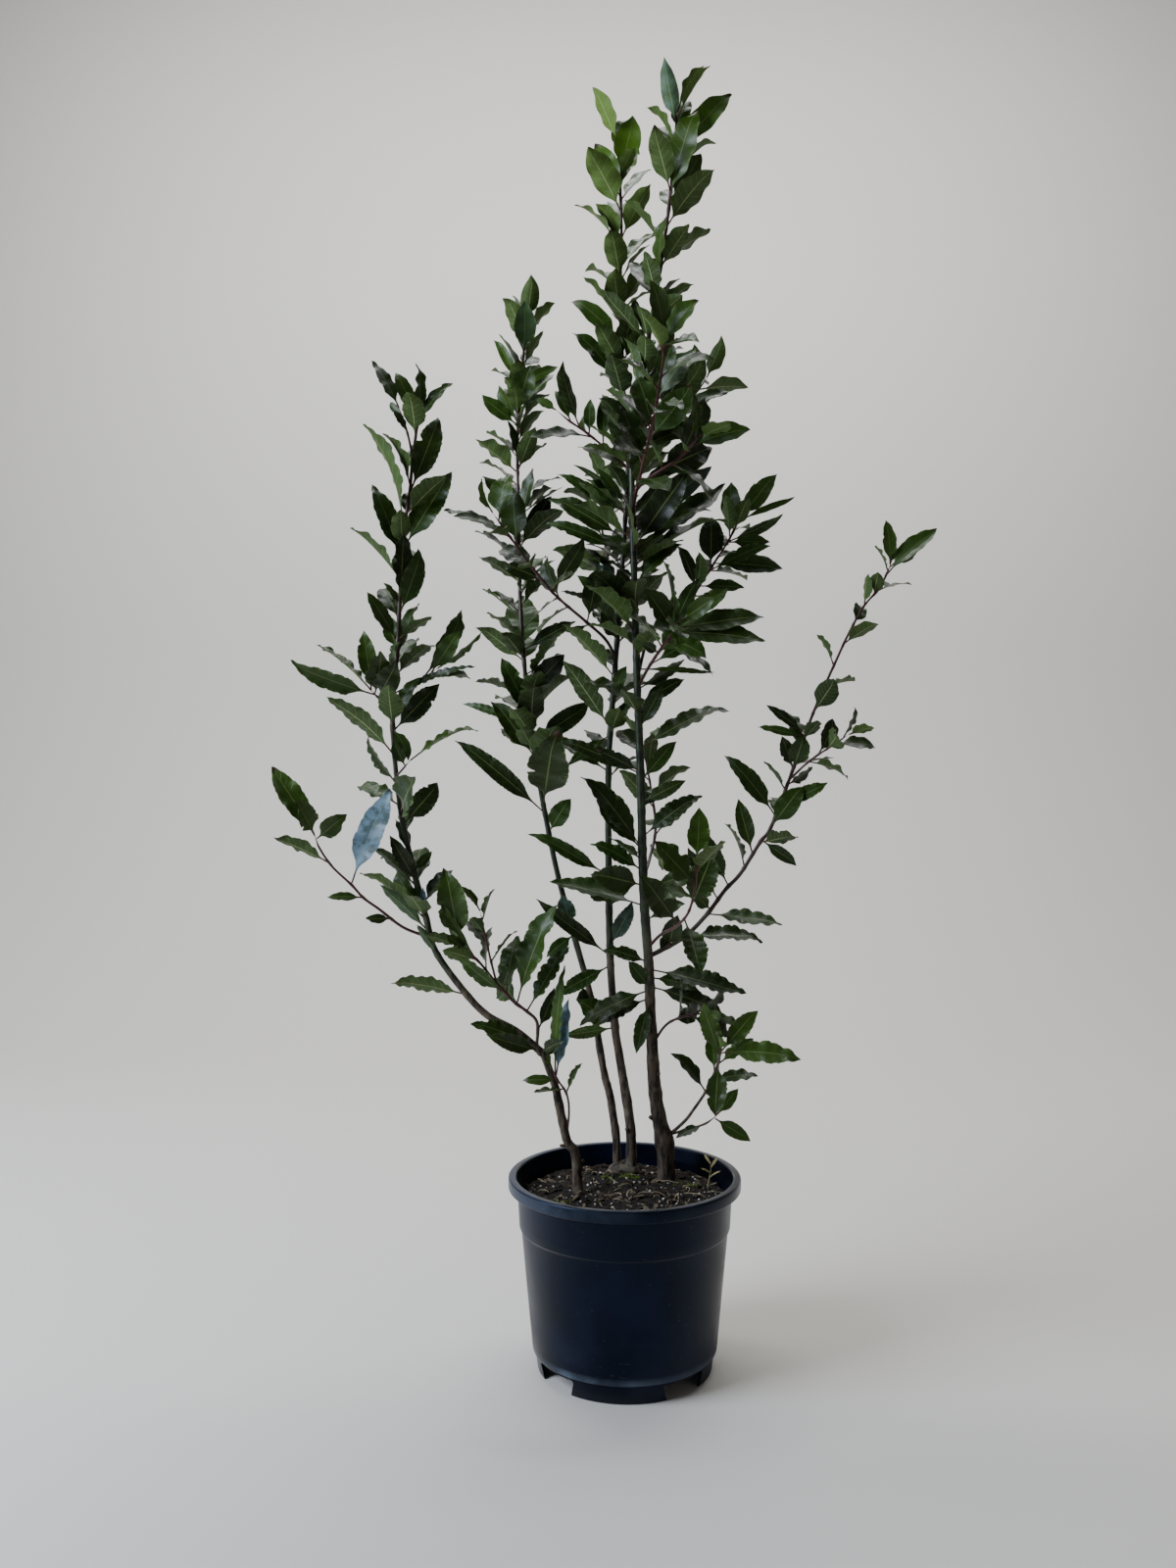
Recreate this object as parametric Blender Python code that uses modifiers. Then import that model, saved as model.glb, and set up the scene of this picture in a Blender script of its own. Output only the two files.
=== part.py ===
"""Bay laurel (Laurus nobilis) in a round nursery pot.

The frame's origin lies on the surface under the pot's axis: +X to the right, +Y to the back, +Z up.
Four woody trunks stand in plain holes in the soil. Each carries a green leafy stem, and side sprays
sit on the stems in saddles. Every stem follows its own route, and its leaves are blades with a lens
section: the ones that stand out are placed one by one, the rest by a spiral rule. A leaf that would
touch a neighbour is turned until it is clear, or left out.
"""

import math
import random
from dataclasses import dataclass, replace
from typing import NamedTuple

import bmesh
import bpy
from mathutils import Matrix, Vector, noise
from mathutils.bvhtree import BVHTree

MM = 0.001
MERGE = 0.00001

# Pot: radii and heights in metres
POT_HEIGHT = 0.210
RIM_RADIUS = 0.130
RIM_HEIGHT = 0.0135
RIM_WIDTH = 0.009
RIM_ROUND = 0.002
COLLAR_TOP_RADIUS = 0.1200
COLLAR_FOOT_RADIUS = 0.1178
COLLAR_FOOT_Z = 0.155
COLLAR_STEP = 0.0022
WALL_FOOT_RADIUS = 0.1030
WALL_FOOT_Z = 0.0215
WALL = 0.0022
FOOT_TOP_RADIUS = 0.1004
FOOT_BOTTOM_RADIUS = 0.0970
FLOOR_UNDERSIDE_Z = 0.0180
FLOOR_TOP_Z = 0.0205
POT_STEPS = 32
NOTCHES = 4
FIRST_NOTCH_DEG = -141.0
NOTCH_TOP_HALF_WIDTH = 0.0290
NOTCH_BOTTOM_HALF_WIDTH = 0.0225
NOTCH_TOP_Z = 0.0176
NOTCH_CUT_DEPTH = 0.040
NOTCH_CUT_REACH = 0.0944
DRAIN_HOLE_RADIUS = 0.006
DRAIN_HOLE_REACH = 0.078
DRAIN_HOLE_SIDES = 10
DRAIN_CUT_HEIGHT = 0.010

# Air between touching pieces: round pieces with flat sides take a little more
GAP = 0.0003
HOLE_GAP = 1.3 * GAP
FLARE_GAP = 1.5 * GAP
SEAT_GAP = 1.2 * GAP

# Soil: its lumps and crumbs have a height and a pitch in turns a metre
SOIL_TOP_Z = 0.185
SOIL_MOUND = 0.005
SOIL_LUMP = 0.0025
SOIL_LUMP_PITCH = 38.0
SOIL_CRUMB_PITCH = 90.0
SOIL_RINGS = (0.100, 0.074, 0.046, 0.020)
TRUNK_DEPTH_Z = 0.120

# Root flare of the centre pair and burl of the right trunk
FLARE_CENTRE = (2.0, 77.0, 189.0)
FLARE_RADII = (19.0, 14.0, 13.0)
BURL_CENTRE = (51.0, 54.0, 232.0)
BURL_RADII = (13.0, 12.0, 16.0)
KNOB_SIDES = 10
KNOB_ROWS = 7
KNOB_LUMP_SHARE = 0.1
KNOB_LUMP_PITCH = 2.3
KNOB_LUMP_SHIFT = 20.0

# Stems
ROUTE_STEPS = 12
DIRECTION_REACH = 0.003
BOW_SHARE = 0.25
LONGEST_RUN = 0.080
SPLIT_RUN = 0.006
TRUNK_ROUNDNESS = 2
STEM_ROUNDNESS = 1
TWIG_ROUNDNESS = 0
TWIG_DIAMETER = 3.9
GOLDEN_ANGLE = math.radians(137.5)

# Leaf habit
PETIOLE_SHARE = 0.12
PETIOLE_HALF_WIDTH = 0.0012
PETIOLE_HALF_THICKNESS = 0.0010
MIDRIB_HALF_THICKNESS = 0.0006
ROOT_DEPTH = 0.0006
OUTLINE_BASE_POWER = 0.70
OUTLINE_TIP_POWER = 0.85
OUTLINE_PEAK = 0.344
LONG_LEAF = 0.088
SHORT_LEAF = 0.046
BROADNESS = (0.34, 0.45)
FULL_SHARE = 0.25
ARCHES = (0.00, 0.09)
TWIST = 0.5
FOLDS_DEG = (6.0, 22.0)
WAVE_SHARE = 0.045
WAVES = (0.6, 1.6)
WAVES_A_SIDE = 3.0
RIGHT_LAG = 2.0

# Spread of the leaves that stand in a spiral
TIP_CROWDING = 1.25
SIZES = (0.84, 1.14)
PITCH_SPREAD_DEG = 7.0
TURN_SPREAD = 0.25
ROLL_SPREAD = 0.45

# Clearances for placing leaves, and how far each further try turns, swings or shrinks a leaf
LEAF_PAD = 0.0008
STEM_PAD = 0.0008
TRIES = 20
TURN_A_TRY = math.radians(31.0)
ROLL_A_TRY_DEG = 9.0
SWING_A_TRY = 0.018
SHRINK_A_TRY = 0.02
MAIN_SEED = 1180
SPIRAL_SEED = 1280
SEEDLING_SEED = 1279


class Leaf(NamedTuple):
    """A leaf placed one by one.

    at is the distance up its stem, x, y, z the reach from the stem's centre line to the leaf's tip,
    width the blade's full width, all in millimetres, and roll its turn about its own length in degrees.
    """

    at: float
    x: float
    y: float
    z: float
    width: float
    roll: float


@dataclass(frozen=True)
class Shoot:
    """One stem or twig: its route in millimetres, its thickness and its leaves."""

    name: str
    node: str
    route: tuple
    diameters: tuple
    leaves: tuple = ()
    count: int = 0
    bare: float = 0.3
    lengths: tuple = (70.0, 45.0)
    pitch: tuple = (60.0, 30.0)
    seats: tuple = ()


@dataclass(frozen=True)
class Blade:
    """One leaf as a surface: root on the stem's centre line, chord to the tip and its shape."""

    root: Vector
    chord: Vector
    upper: Vector
    width: float
    arch: float
    twist: float
    fold: float
    wave: float
    phase: float


TRUNKS = (
    Shoot("trunk_left", "trunk_left",
          ((-52, 0, 185), (-55, -2, 232), (-65, -5, 250), (-77, -10, 307), (-90, -15, 346)), (11, 8.4)),
    Shoot("trunk_centre_left", "trunk_centre_pair",
          ((-5, 78, 185), (-6, 79, 200), (-8, 80, 233), (-15, 84, 278), (-23, 88, 311), (-36, 92, 387)),
          (10, 8)),
    Shoot("trunk_centre_right", "trunk_centre_pair",
          ((9, 75, 185), (10, 76, 200), (10, 76, 234), (5, 78, 273), (-8, 82, 351)), (13, 9.6)),
    Shoot("trunk_right", "trunk_right",
          ((50, 55, 185), (50, 54, 205), (49, 54, 228), (42, 52, 258), (36, 50, 302), (34, 50, 343),
           (32, 50, 384)), (20, 12)),
)

MAIN_STEMS = (
    Shoot("stem_left", "leafy_stem_left",
          ((-90, -15, 346), (-119, -20, 372), (-154, -26, 393), (-183, -32, 426), (-209, -36, 465),
           (-218, -38, 499), (-229, -40, 541), (-245, -44, 615), (-253, -48, 694), (-253, -50, 740),
           (-248, -52, 795), (-245, -54, 856), (-241, -56, 921), (-234, -58, 965), (-231, -60, 1001),
           (-224, -60, 1046)), (8.4, 2.6),
          leaves=(
              Leaf(110, -83, -15, 18, 23, 50), Leaf(558, 3, -15, 76, 27, -95),
              Leaf(542, 25, 10, 74, 23, 70), Leaf(553, -16, -5, 25, 8, -60),
              Leaf(513, -31, -15, 53, 17, -75), Leaf(503, -14, 12, 43, 18, -50),
              Leaf(498, 20, 15, 56, 19, 55), Leaf(416, 50, 5, 53, 23, 90),
              Leaf(424, 32, -20, 50, 17, 85), Leaf(470, 11, -38, 39, 23, 95),
              Leaf(389, -74, -10, 63, 26, 45),
              Leaf(327, 26, -72, 37, 37, 95), Leaf(314, 39, 10, 46, 24, 85),
              Leaf(280, -22, 5, 40, 15, -50), Leaf(242, -48, -12, 48, 19, 35),
              Leaf(262, 19, 8, 21, 10, 80), Leaf(220, -31, 10, 38, 21, -50),
              Leaf(204, -67, -15, 60, 25, 35), Leaf(602, -34, 5, 86, 25, -45),
              Leaf(613, 53, 12, 91, 29, 65), Leaf(634, -41, -8, 117, 34, 15),
              Leaf(675, 32, 8, 88, 26, 70),
              Leaf(753, -25, 0, 57, 17, -70), Leaf(756, 4, -12, 57, 19, -95),
              Leaf(750, 39, -5, 46, 16, 65)),
          count=8, bare=0.32, lengths=(78, 60), pitch=(56, 26)),
    Shoot("stem_centre_left", "leafy_stem_centre_left",
          ((-36, 92, 387), (-44, 95, 418), (-60, 98, 474), (-78, 102, 541), (-92, 108, 607),
           (-104, 112, 673), (-115, 118, 757), (-122, 122, 830), (-126, 128, 915), (-128, 135, 1014),
           (-129, 140, 1088), (-124, 143, 1162), (-118, 145, 1230)), (8, 2.4),
          leaves=(
              Leaf(677, -10, -8, 49, 14, -95), Leaf(581, -45, 5, 81, 25, -60),
              Leaf(589, 19, -20, 72, 21, 95), Leaf(555, 0, -25, 77, 22, 95),
              Leaf(502, 2, -60, 53, 40, 95), Leaf(435, -6, 60, 79, 41, 5),
              Leaf(423, -57, -5, 45, 20, 55), Leaf(352, -37, -8, 75, 24, -95),
              Leaf(302, -53, 5, 74, 25, -80), Leaf(245, 15, -64, 84, 48, 95),
              Leaf(323, 72, 10, 49, 24, 95)),
          count=31, bare=0.36, lengths=(80, 54), pitch=(58, 24)),
    Shoot("stem_centre_right", "leafy_stem_centre_right",
          ((-8, 82, 351), (-14, 85, 434), (-16, 88, 541), (-16, 88, 674), (-8, 86, 792), (0, 84, 907),
           (7, 82, 1025), (5, 80, 1070), (1, 76, 1139), (-2, 72, 1230), (-1, 68, 1310), (-3, 65, 1378),
           (-4, 64, 1412)), (9.6, 2.6),
          leaves=(
              Leaf(827, -60, 5, 58, 23, -70), Leaf(776, -60, -5, 65, 24, -65),
              Leaf(365, -57, -8, 82, 27, 55), Leaf(313, -68, 10, 43, 22, -45),
              Leaf(1025, 17, -5, 69, 30, 95), Leaf(998, -30, 5, 69, 28, -85)),
          count=38, bare=0.38, lengths=(88, 68), pitch=(58, 26)),
    Shoot("stem_right", "leafy_stem_right",
          ((32, 50, 384), (30, 49, 436), (24, 47, 524), (20, 44, 673), (17, 42, 749), (13, 38, 881),
           (10, 34, 1010), (10, 32, 1048), (19, 30, 1103), (27, 28, 1146), (33, 26, 1188),
           (40, 25, 1227), (51, 22, 1301), (59, 20, 1377), (62, 20, 1422)), (12, 2.8),
          leaves=(
              Leaf(1035, -9, 6, 53, 16, -80), Leaf(1040, 26, -8, 48, 18, 95),
              Leaf(997, 67, 5, 76, 27, 80), Leaf(941, 30, -15, 104, 34, 95),
              Leaf(847, 12, -18, 59, 27, 95), Leaf(702, -6, -8, 85, 23, 30),
              Leaf(673, -5, -55, 30, 32, -95), Leaf(680, 37, -10, 62, 20, 95),
              Leaf(661, 114, -5, 61, 32, 50),
              Leaf(650, 99, 5, 37, 28, 50), Leaf(619, 48, -8, 54, 20, 95),
              Leaf(532, -13, -68, 55, 44, -95), Leaf(535, 112, 10, 79, 34, 40),
              Leaf(520, 101, -5, 61, 32, 50), Leaf(328, 27, -8, 50, 18, 95),
              Leaf(357, 56, 5, 30, 17, 50), Leaf(305, 103, -5, 52, 31, 35),
              Leaf(268, 41, 8, 48, 18, 80), Leaf(243, 51, -12, 26, 16, 95),
              Leaf(202, 70, 5, 51, 23, 55), Leaf(140, 97, -5, 21, 27, 40),
              Leaf(105, 48, 10, 22, 15, 65), Leaf(162, -62, -8, 35, 19, -60),
              Leaf(188, -69, 5, 88, 30, -50), Leaf(279, -52, -10, 26, 16, -95),
              Leaf(146, -60, -25, 16, 30, -90), Leaf(122, -112, 8, 27, 31, -30),
              Leaf(56, -54, -8, 18, 16, -60), Leaf(48, 111, -20, -27, 31, 30),
              Leaf(38, 59, 8, -16, 17, 50), Leaf(28, 93, 12, -37, 27, 45),
              Leaf(24, -84, -10, -38, 25, -35), Leaf(14, -64, 10, -32, 19, -50),
              Leaf(10, -17, -25, -56, 17, -20)),
          count=31, bare=0.34, lengths=(88, 68), pitch=(58, 26)),
)

TWIGS = (
    Shoot("twig_left_top", "leafy_stem_left", ((-231, -60, 1001), (-236, -64, 1025), (-245, -68, 1053)),
          (2.6, 2),
          leaves=(Leaf(51, -30, 0, 54, 17, -15), Leaf(26, -14, -8, 22, 9, -85),
                  Leaf(44, -15, 8, 18, 8, -55))),
    Shoot("twig_left_cluster", "leafy_stem_left",
          ((-252, -49, 726), (-264, -56, 736), (-275, -62, 747)), (3.2, 2.4),
          leaves=(Leaf(23, 27, -42, 33, 25, 95), Leaf(28, 11, -40, 40, 27, 95),
                  Leaf(33, -10, 5, 67, 19, 65), Leaf(32, -63, 15, 53, 22, 70),
                  Leaf(27, -70, -20, 18, 20, -15))),
    Shoot("twig_left_small", "leafy_stem_left",
          ((-253, -46, 652), (-243, -50, 662), (-234, -54, 672)), (2.6, 2),
          leaves=(Leaf(20, -12, -8, 27, 15, -70), Leaf(27, 74, 0, 40, 20, -20))),
    Shoot("twig_left_inner", "leafy_stem_left",
          ((-252, -50, 740), (-232, -54, 752), (-215, -58, 763), (-204, -60, 771)), (3, 2),
          leaves=(Leaf(36, 44, 15, 80, 25, -5), Leaf(49, 33, -12, 46, 19, -90),
                  Leaf(57, 47, 5, 42, 17, 45), Leaf(44, 51, -25, -3, 15, 55))),
    Shoot("twig_left_low", "spray_left_low",
          ((-141, -38, 429), (-148, -42, 458), (-154, -45, 486), (-158, -46, 507)), (2.6, 2),
          count=5, bare=0.3, lengths=(46, 38), pitch=(56, 22)),
    Shoot("twig_far_right", "branch_far_right",
          ((197, 60, 654), (218, 48, 675), (240, 34, 691), (258, 24, 704)), (3, 2),
          count=6, bare=0.35, lengths=(58, 42), pitch=(60, 25)),
)

SPRAYS = (
    Shoot("spray_far_left", "spray_far_left",
          ((-213, -37, 478), (-242, -44, 490), (-267, -50, 510), (-284, -54, 523), (-296, -57, 537),
           (-316, -62, 557), (-329, -68, 578), (-333, -70, 591)), (3.6, 2.2),
          leaves=(Leaf(139, -60, -5, 28, 18, 70), Leaf(171, -50, 5, 76, 25, -35),
                  Leaf(173, -26, -15, 55, 23, -95), Leaf(169, 34, -8, 27, 20, 95),
                  Leaf(106, 42, 8, 103, 30, 60), Leaf(87, -38, -8, 1, 10, -60),
                  Leaf(49, -26, -12, 1, 10, -95)),
          seats=("stem_left",)),
    Shoot("spray_left_low", "spray_left_low",
          ((-98, -16, 353), (-97, -25, 383), (-109, -30, 397), (-124, -34, 409), (-143, -38, 431),
           (-160, -40, 452), (-180, -40, 469)), (4, 2.2),
          leaves=(Leaf(64, 42, -15, 113, 33, 40), Leaf(50, 44, 5, 73, 23, 30),
                  Leaf(22, 20, 10, 46, 15, 50)),
          count=7, bare=0.4, lengths=(72, 52), pitch=(60, 28), seats=("stem_left",)),
    Shoot("basal_twig_left", "basal_twig_left",
          ((-65, -5, 250), (-62, -16, 284), (-65, -22, 305), (-75, -26, 321), (-81, -28, 333)), (2.8, 2),
          leaves=(Leaf(77, -39, -6, 1, 11, -70), Leaf(58, 17, -8, 36, 11, 20)),
          count=2, bare=0.7, lengths=(34, 28), pitch=(60, 20), seats=("trunk_left",)),
    Shoot("spray_grey_twig", "spray_grey_twig",
          ((6, 82, 1029), (-23, 76, 1053), (-47, 72, 1071), (-63, 70, 1081), (-78, 68, 1093)), (3.2, 2),
          leaves=(Leaf(73, -24, -5, 78, 22, -60), Leaf(85, -21, 8, 41, 14, 55),
                  Leaf(59, 1, -6, 41, 14, 85), Leaf(38, 2, 5, 62, 17, 75),
                  Leaf(54, -78, -10, -4, 21, -45)),
          count=2, bare=0.6, lengths=(40, 34), pitch=(60, 20), seats=("stem_centre_right",)),
    Shoot("spray_front_centre", "spray_front_centre",
          ((-7, 86, 799), (-20, 70, 820), (-44, 50, 839), (-75, 20, 861), (-92, 0, 877),
           (-111, -20, 899), (-132, -40, 926), (-144, -50, 941)), (4, 2),
          leaves=(Leaf(208, -75, -5, 32, 22, 15), Leaf(126, 39, -10, 60, 20, 55),
                  Leaf(63, 15, -8, 67, 25, 55)),
          count=6, bare=0.4, lengths=(70, 54), pitch=(65, 28), seats=("stem_centre_right",)),
    Shoot("spray_right_high", "spray_right_high",
          ((16, 42, 767), (28, 48, 814), (47, 56, 844), (75, 66, 861), (92, 74, 885), (110, 82, 913),
           (129, 88, 943), (144, 92, 973)), (4, 2),
          leaves=(Leaf(251, 22, 5, 45, 19, -95), Leaf(217, 51, -5, -1, 16, 95),
                  Leaf(185, 85, 5, -5, 23, 90), Leaf(150, 54, -5, -2, 16, 95),
                  Leaf(143, -21, -5, 55, 16, -90)),
          count=6, bare=0.4, lengths=(66, 50), pitch=(62, 26), seats=("stem_right",)),
    Shoot("spray_right_front", "spray_right_front",
          ((18, 42, 762), (29, 20, 782), (43, -8, 802), (52, -30, 813), (60, -54, 824)), (4, 2.2),
          leaves=(Leaf(106, 96, -15, 12, 26, -5), Leaf(95, 99, -30, -13, 28, 0),
                  Leaf(101, -1, -15, 40, 13, -30), Leaf(57, -19, -15, 10, 11, -55),
                  Leaf(79, 54, -10, -37, 18, -15)),
          count=6, bare=0.4, lengths=(74, 56), pitch=(64, 28), seats=("stem_right",)),
    Shoot("spray_crown_front", "spray_crown_front",
          ((10, 35, 982), (24, 18, 995), (45, -5, 1004), (65, -28, 1012), (80, -50, 1026)), (4, 2.2),
          count=8, bare=0.35, lengths=(74, 58), pitch=(64, 28), seats=("stem_right",)),
    Shoot("spray_crown_back", "spray_crown_back",
          ((11, 32, 1052), (34, 50, 1074), (58, 75, 1096), (87, 97, 1121), (104, 112, 1146)), (4, 2),
          count=8, bare=0.35, lengths=(74, 56), pitch=(62, 26), seats=("stem_right",)),
    Shoot("branch_far_right", "branch_far_right",
          ((29, 49, 446), (70, 52, 468), (98, 54, 495), (120, 55, 524), (138, 56, 543), (161, 58, 579),
           (174, 58, 597), (196, 60, 653), (204, 60, 675), (221, 61, 722), (235, 62, 756),
           (252, 63, 793), (267, 64, 825), (286, 65, 859), (305, 66, 881), (318, 66, 908)), (5.6, 2.2),
          leaves=(Leaf(557, -6, -5, 54, 16, -95), Leaf(555, 38, 8, 52, 19, 40),
                  Leaf(544, 62, -5, 54, 23, 60), Leaf(128, -36, -5, 68, 21, -95),
                  Leaf(175, -17, 5, 66, 19, -90), Leaf(228, -61, -8, 73, 26, -65),
                  Leaf(195, 43, 5, -29, 14, 95), Leaf(87, 87, -12, -10, 24, 45),
                  Leaf(48, 94, 10, -3, 26, 30), Leaf(239, 57, -8, 28, 17, 75)),
          count=15, bare=0.28, lengths=(60, 42), pitch=(60, 26), seats=("stem_right",)),
    Shoot("spray_low_right", "spray_low_right",
          ((51, 54, 236), (70, 40, 257), (80, 28, 274), (94, 12, 301), (105, 0, 332), (108, -6, 349)),
          (4.2, 2.4),
          leaves=(Leaf(139, 90, -10, -5, 26, 30), Leaf(128, -6, -12, -59, 22, 20),
                  Leaf(140, 42, 8, 47, 20, 40), Leaf(135, -21, -8, 61, 20, -65)),
          count=6, bare=0.6, lengths=(62, 46), pitch=(66, 30), seats=("trunk_right", "burl")),
    Shoot("sprig_low_right", "sprig_low_right",
          ((50, 58, 236), (78, 64, 243), (97, 66, 248), (111, 66, 258)), (3, 2),
          leaves=(Leaf(48, -35, -14, -12, 12, 40), Leaf(62, 43, -5, -26, 16, 85),
                  Leaf(66, 26, 5, 31, 14, -70)),
          count=2, bare=0.7, lengths=(40, 34), pitch=(60, 25), seats=("trunk_right", "burl")),
    Shoot("sprig_above_burl", "sprig_above_burl",
          ((34, 50, 344), (52, 44, 370), (81, 36, 382), (97, 30, 382)), (3.4, 2.2),
          count=6, bare=0.45, lengths=(62, 46), pitch=(64, 30), seats=("trunk_right",)),
    Shoot("spray_back_low", "spray_back_low",
          ((23, 47, 536), (33, 82, 560), (42, 118, 596), (38, 146, 642), (30, 164, 692)), (4.4, 2.2),
          count=9, bare=0.3, lengths=(76, 56), pitch=(62, 28), seats=("stem_right",)),
    Shoot("spray_back_high", "spray_back_high",
          ((-3, 85, 862), (-8, 112, 890), (-16, 138, 930), (-24, 156, 980), (-22, 168, 1030)), (4.2, 2),
          count=9, bare=0.3, lengths=(74, 56), pitch=(62, 28), seats=("stem_centre_right",)),
    Shoot("spray_front_high", "spray_front_high",
          ((11, 37, 942), (12, 4, 968), (20, -42, 1000), (28, -90, 1030), (34, -134, 1064),
           (36, -166, 1092)), (4.2, 2),
          count=13, bare=0.3, lengths=(76, 58), pitch=(62, 28), seats=("stem_right",)),
    Shoot("spray_front_low", "spray_front_low",
          ((30, 49, 458), (42, 14, 476), (56, -32, 490), (66, -78, 510), (70, -112, 540),
           (70, -128, 566)), (4, 2.2),
          count=7, bare=0.45, lengths=(78, 58), pitch=(64, 30), seats=("stem_right",)),
)

SEEDLING = Shoot("dry_weed_seedling", "dry_weed_seedling",
                 ((96, 22, 184), (97, 21, 196), (99, 19, 208), (98, 16, 219)), (1.8, 1.4),
                 leaves=(Leaf(15, 13, -5, 9, 6, 20), Leaf(20, -12, -7, 8, 6, -30),
                         Leaf(27, 9, 9, 10, 6, 10), Leaf(32, -7, 5, 10, 6, -20)))

SHOOTS = TRUNKS + MAIN_STEMS + TWIGS + SPRAYS

# Colour in sRGB and roughness of each material
WOOD = ((0.30, 0.27, 0.21), 0.75)
GREEN = ((0.12, 0.21, 0.09), 0.45)
DRY = ((0.62, 0.55, 0.36), 0.8)
BLACK_PLASTIC = ((0.035, 0.042, 0.062), 0.35)
SOIL_BROWN = ((0.09, 0.065, 0.045), 0.95)


def clear_scene():
    """Remove the objects that the scene starts with."""
    for item in list(bpy.data.objects):
        bpy.data.objects.remove(item, do_unlink=True)


def new_collection(name):
    """Return a new collection linked to the scene."""
    group = bpy.data.collections.new(name)
    bpy.context.scene.collection.children.link(group)
    return group


def material(name, look):
    """Return a Principled material of one colour and roughness."""
    colour, roughness = look
    made = bpy.data.materials.new(name)
    made.use_nodes = True
    shader = made.node_tree.nodes["Principled BSDF"]
    linear = [((c + 0.055) / 1.055) ** 2.4 if c > 0.04045 else c / 12.92 for c in colour]
    shader.inputs["Base Color"].default_value = (*linear, 1.0)
    shader.inputs["Roughness"].default_value = roughness
    shader.inputs["Metallic"].default_value = 0.0
    return made


def mesh_object(name, mesh, group):
    """Return a new object of a mesh, linked to a collection."""
    made = bpy.data.objects.new(name, mesh)
    group.objects.link(made)
    return made


def bmesh_object(name, shape, group):
    """Return a new object of a bmesh, which is freed."""
    mesh = bpy.data.meshes.new(name)
    shape.to_mesh(mesh)
    shape.free()
    return mesh_object(name, mesh, group)


def smooth(made, degrees):
    """Shade an object smooth, with its creases sharp."""
    made.data.shade_smooth()
    made.data.set_sharp_from_angle(angle=math.radians(degrees))


def apply_modifiers(made):
    """Give an object the mesh that its modifiers make of it."""
    graph = bpy.context.evaluated_depsgraph_get()
    mesh = bpy.data.meshes.new_from_object(made.evaluated_get(graph))
    made.modifiers.clear()
    made.data = mesh


def boolean(made, operation, other):
    """Join a collection's objects to an object or cut them from it, and remove them."""
    step = made.modifiers.new(operation.lower(), "BOOLEAN")
    step.operation = operation
    step.operand_type = "COLLECTION"
    step.collection = other
    step.solver = "MANIFOLD"
    apply_modifiers(made)
    for item in list(other.objects):
        bpy.data.objects.remove(item, do_unlink=True)
    bpy.data.collections.remove(other)


def smooth_route(points):
    """Return a smooth curve through a route's points, densely sampled, in metres."""
    knots = [Vector(point) * MM for point in points]
    ends = [2 * knots[0] - knots[1], *knots, 2 * knots[-1] - knots[-2]]
    curve = []
    for before, start, stop, after in zip(ends, ends[1:], ends[2:], ends[3:]):
        for step in range(ROUTE_STEPS):
            t = step / ROUTE_STEPS
            curve.append(0.5 * (2 * start + (stop - before) * t
                                + (2 * before - 5 * start + 4 * stop - after) * t * t
                                + (3 * start - before - 3 * stop + after) * t ** 3))
    curve.append(knots[-1])
    return curve


class Stem:
    """A shoot's centre line with its thickness, measured along its length."""

    def __init__(self, shoot):
        self.shoot = shoot
        self.curve = smooth_route(shoot.route)
        self.marks = [0.0]
        for start, stop in zip(self.curve, self.curve[1:]):
            self.marks.append(self.marks[-1] + (stop - start).length)
        self.length = self.marks[-1]

    def point(self, along):
        """Return the centre line's point at a distance along it."""
        along = min(max(along, 0.0), self.length)
        for index, mark in enumerate(self.marks[1:], start=1):
            if mark >= along:
                break
        start, stop = self.marks[index - 1], self.marks[index]
        share = (along - start) / max(stop - start, 1e-9)
        return self.curve[index - 1].lerp(self.curve[index], share)

    def direction(self, along):
        """Return the unit direction at a distance along the centre line."""
        ahead, behind = self.point(along + DIRECTION_REACH), self.point(along - DIRECTION_REACH)
        return (ahead - behind).normalized()

    def radius(self, along):
        """Return the stem's radius at a distance along it."""
        base, tip = self.shoot.diameters
        share = min(max(along / self.length, 0.0), 1.0)
        return 0.5 * MM * (base + (tip - base) * share)

    def samples(self):
        """Return distances up the stem between which straight runs keep close to its centre line."""
        samples = [0.0]
        last = 0
        for index in range(2, len(self.curve)):
            run = (self.curve[index] - self.curve[last]).normalized()
            offsets = [point - self.curve[last] for point in self.curve[last + 1:index]]
            bow = max((offset - run * offset.dot(run)).length for offset in offsets)
            length = self.marks[index] - self.marks[last]
            if bow > BOW_SHARE * self.radius(self.marks[last]) or length > LONGEST_RUN:
                last = index - 1
                samples.append(self.marks[last])
        return samples + [self.length]


def tube(name, points, radii, group, sides=STEM_ROUNDNESS):
    """Return a closed tube mesh object through points, with a radius at each."""
    line = bpy.data.curves.new(name, "CURVE")
    line.dimensions = "3D"
    line.bevel_depth = 1.0
    line.bevel_resolution = sides
    line.use_fill_caps = True
    spline = line.splines.new("POLY")
    spline.points.add(len(points) - 1)
    for knot, point, radius in zip(spline.points, points, radii):
        knot.co = (*point, 1.0)
        knot.radius = radius
    drawn = mesh_object(name, line, group)
    graph = bpy.context.evaluated_depsgraph_get()
    mesh = bpy.data.meshes.new_from_object(drawn.evaluated_get(graph))
    place = drawn.matrix_world.copy()
    bpy.data.objects.remove(drawn, do_unlink=True)
    bpy.data.curves.remove(line)
    shape = bmesh.new()
    shape.from_mesh(mesh)
    bmesh.ops.remove_doubles(shape, verts=shape.verts, dist=MERGE)
    bmesh.ops.recalc_face_normals(shape, faces=shape.faces)
    made = bmesh_object(name, shape, group)
    made.matrix_world = place
    return made


def stem_line(stem):
    """Return the points of a stem's tube and the radius at each."""
    marks = stem.samples()
    return [stem.point(mark) for mark in marks], [stem.radius(mark) for mark in marks]


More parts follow.
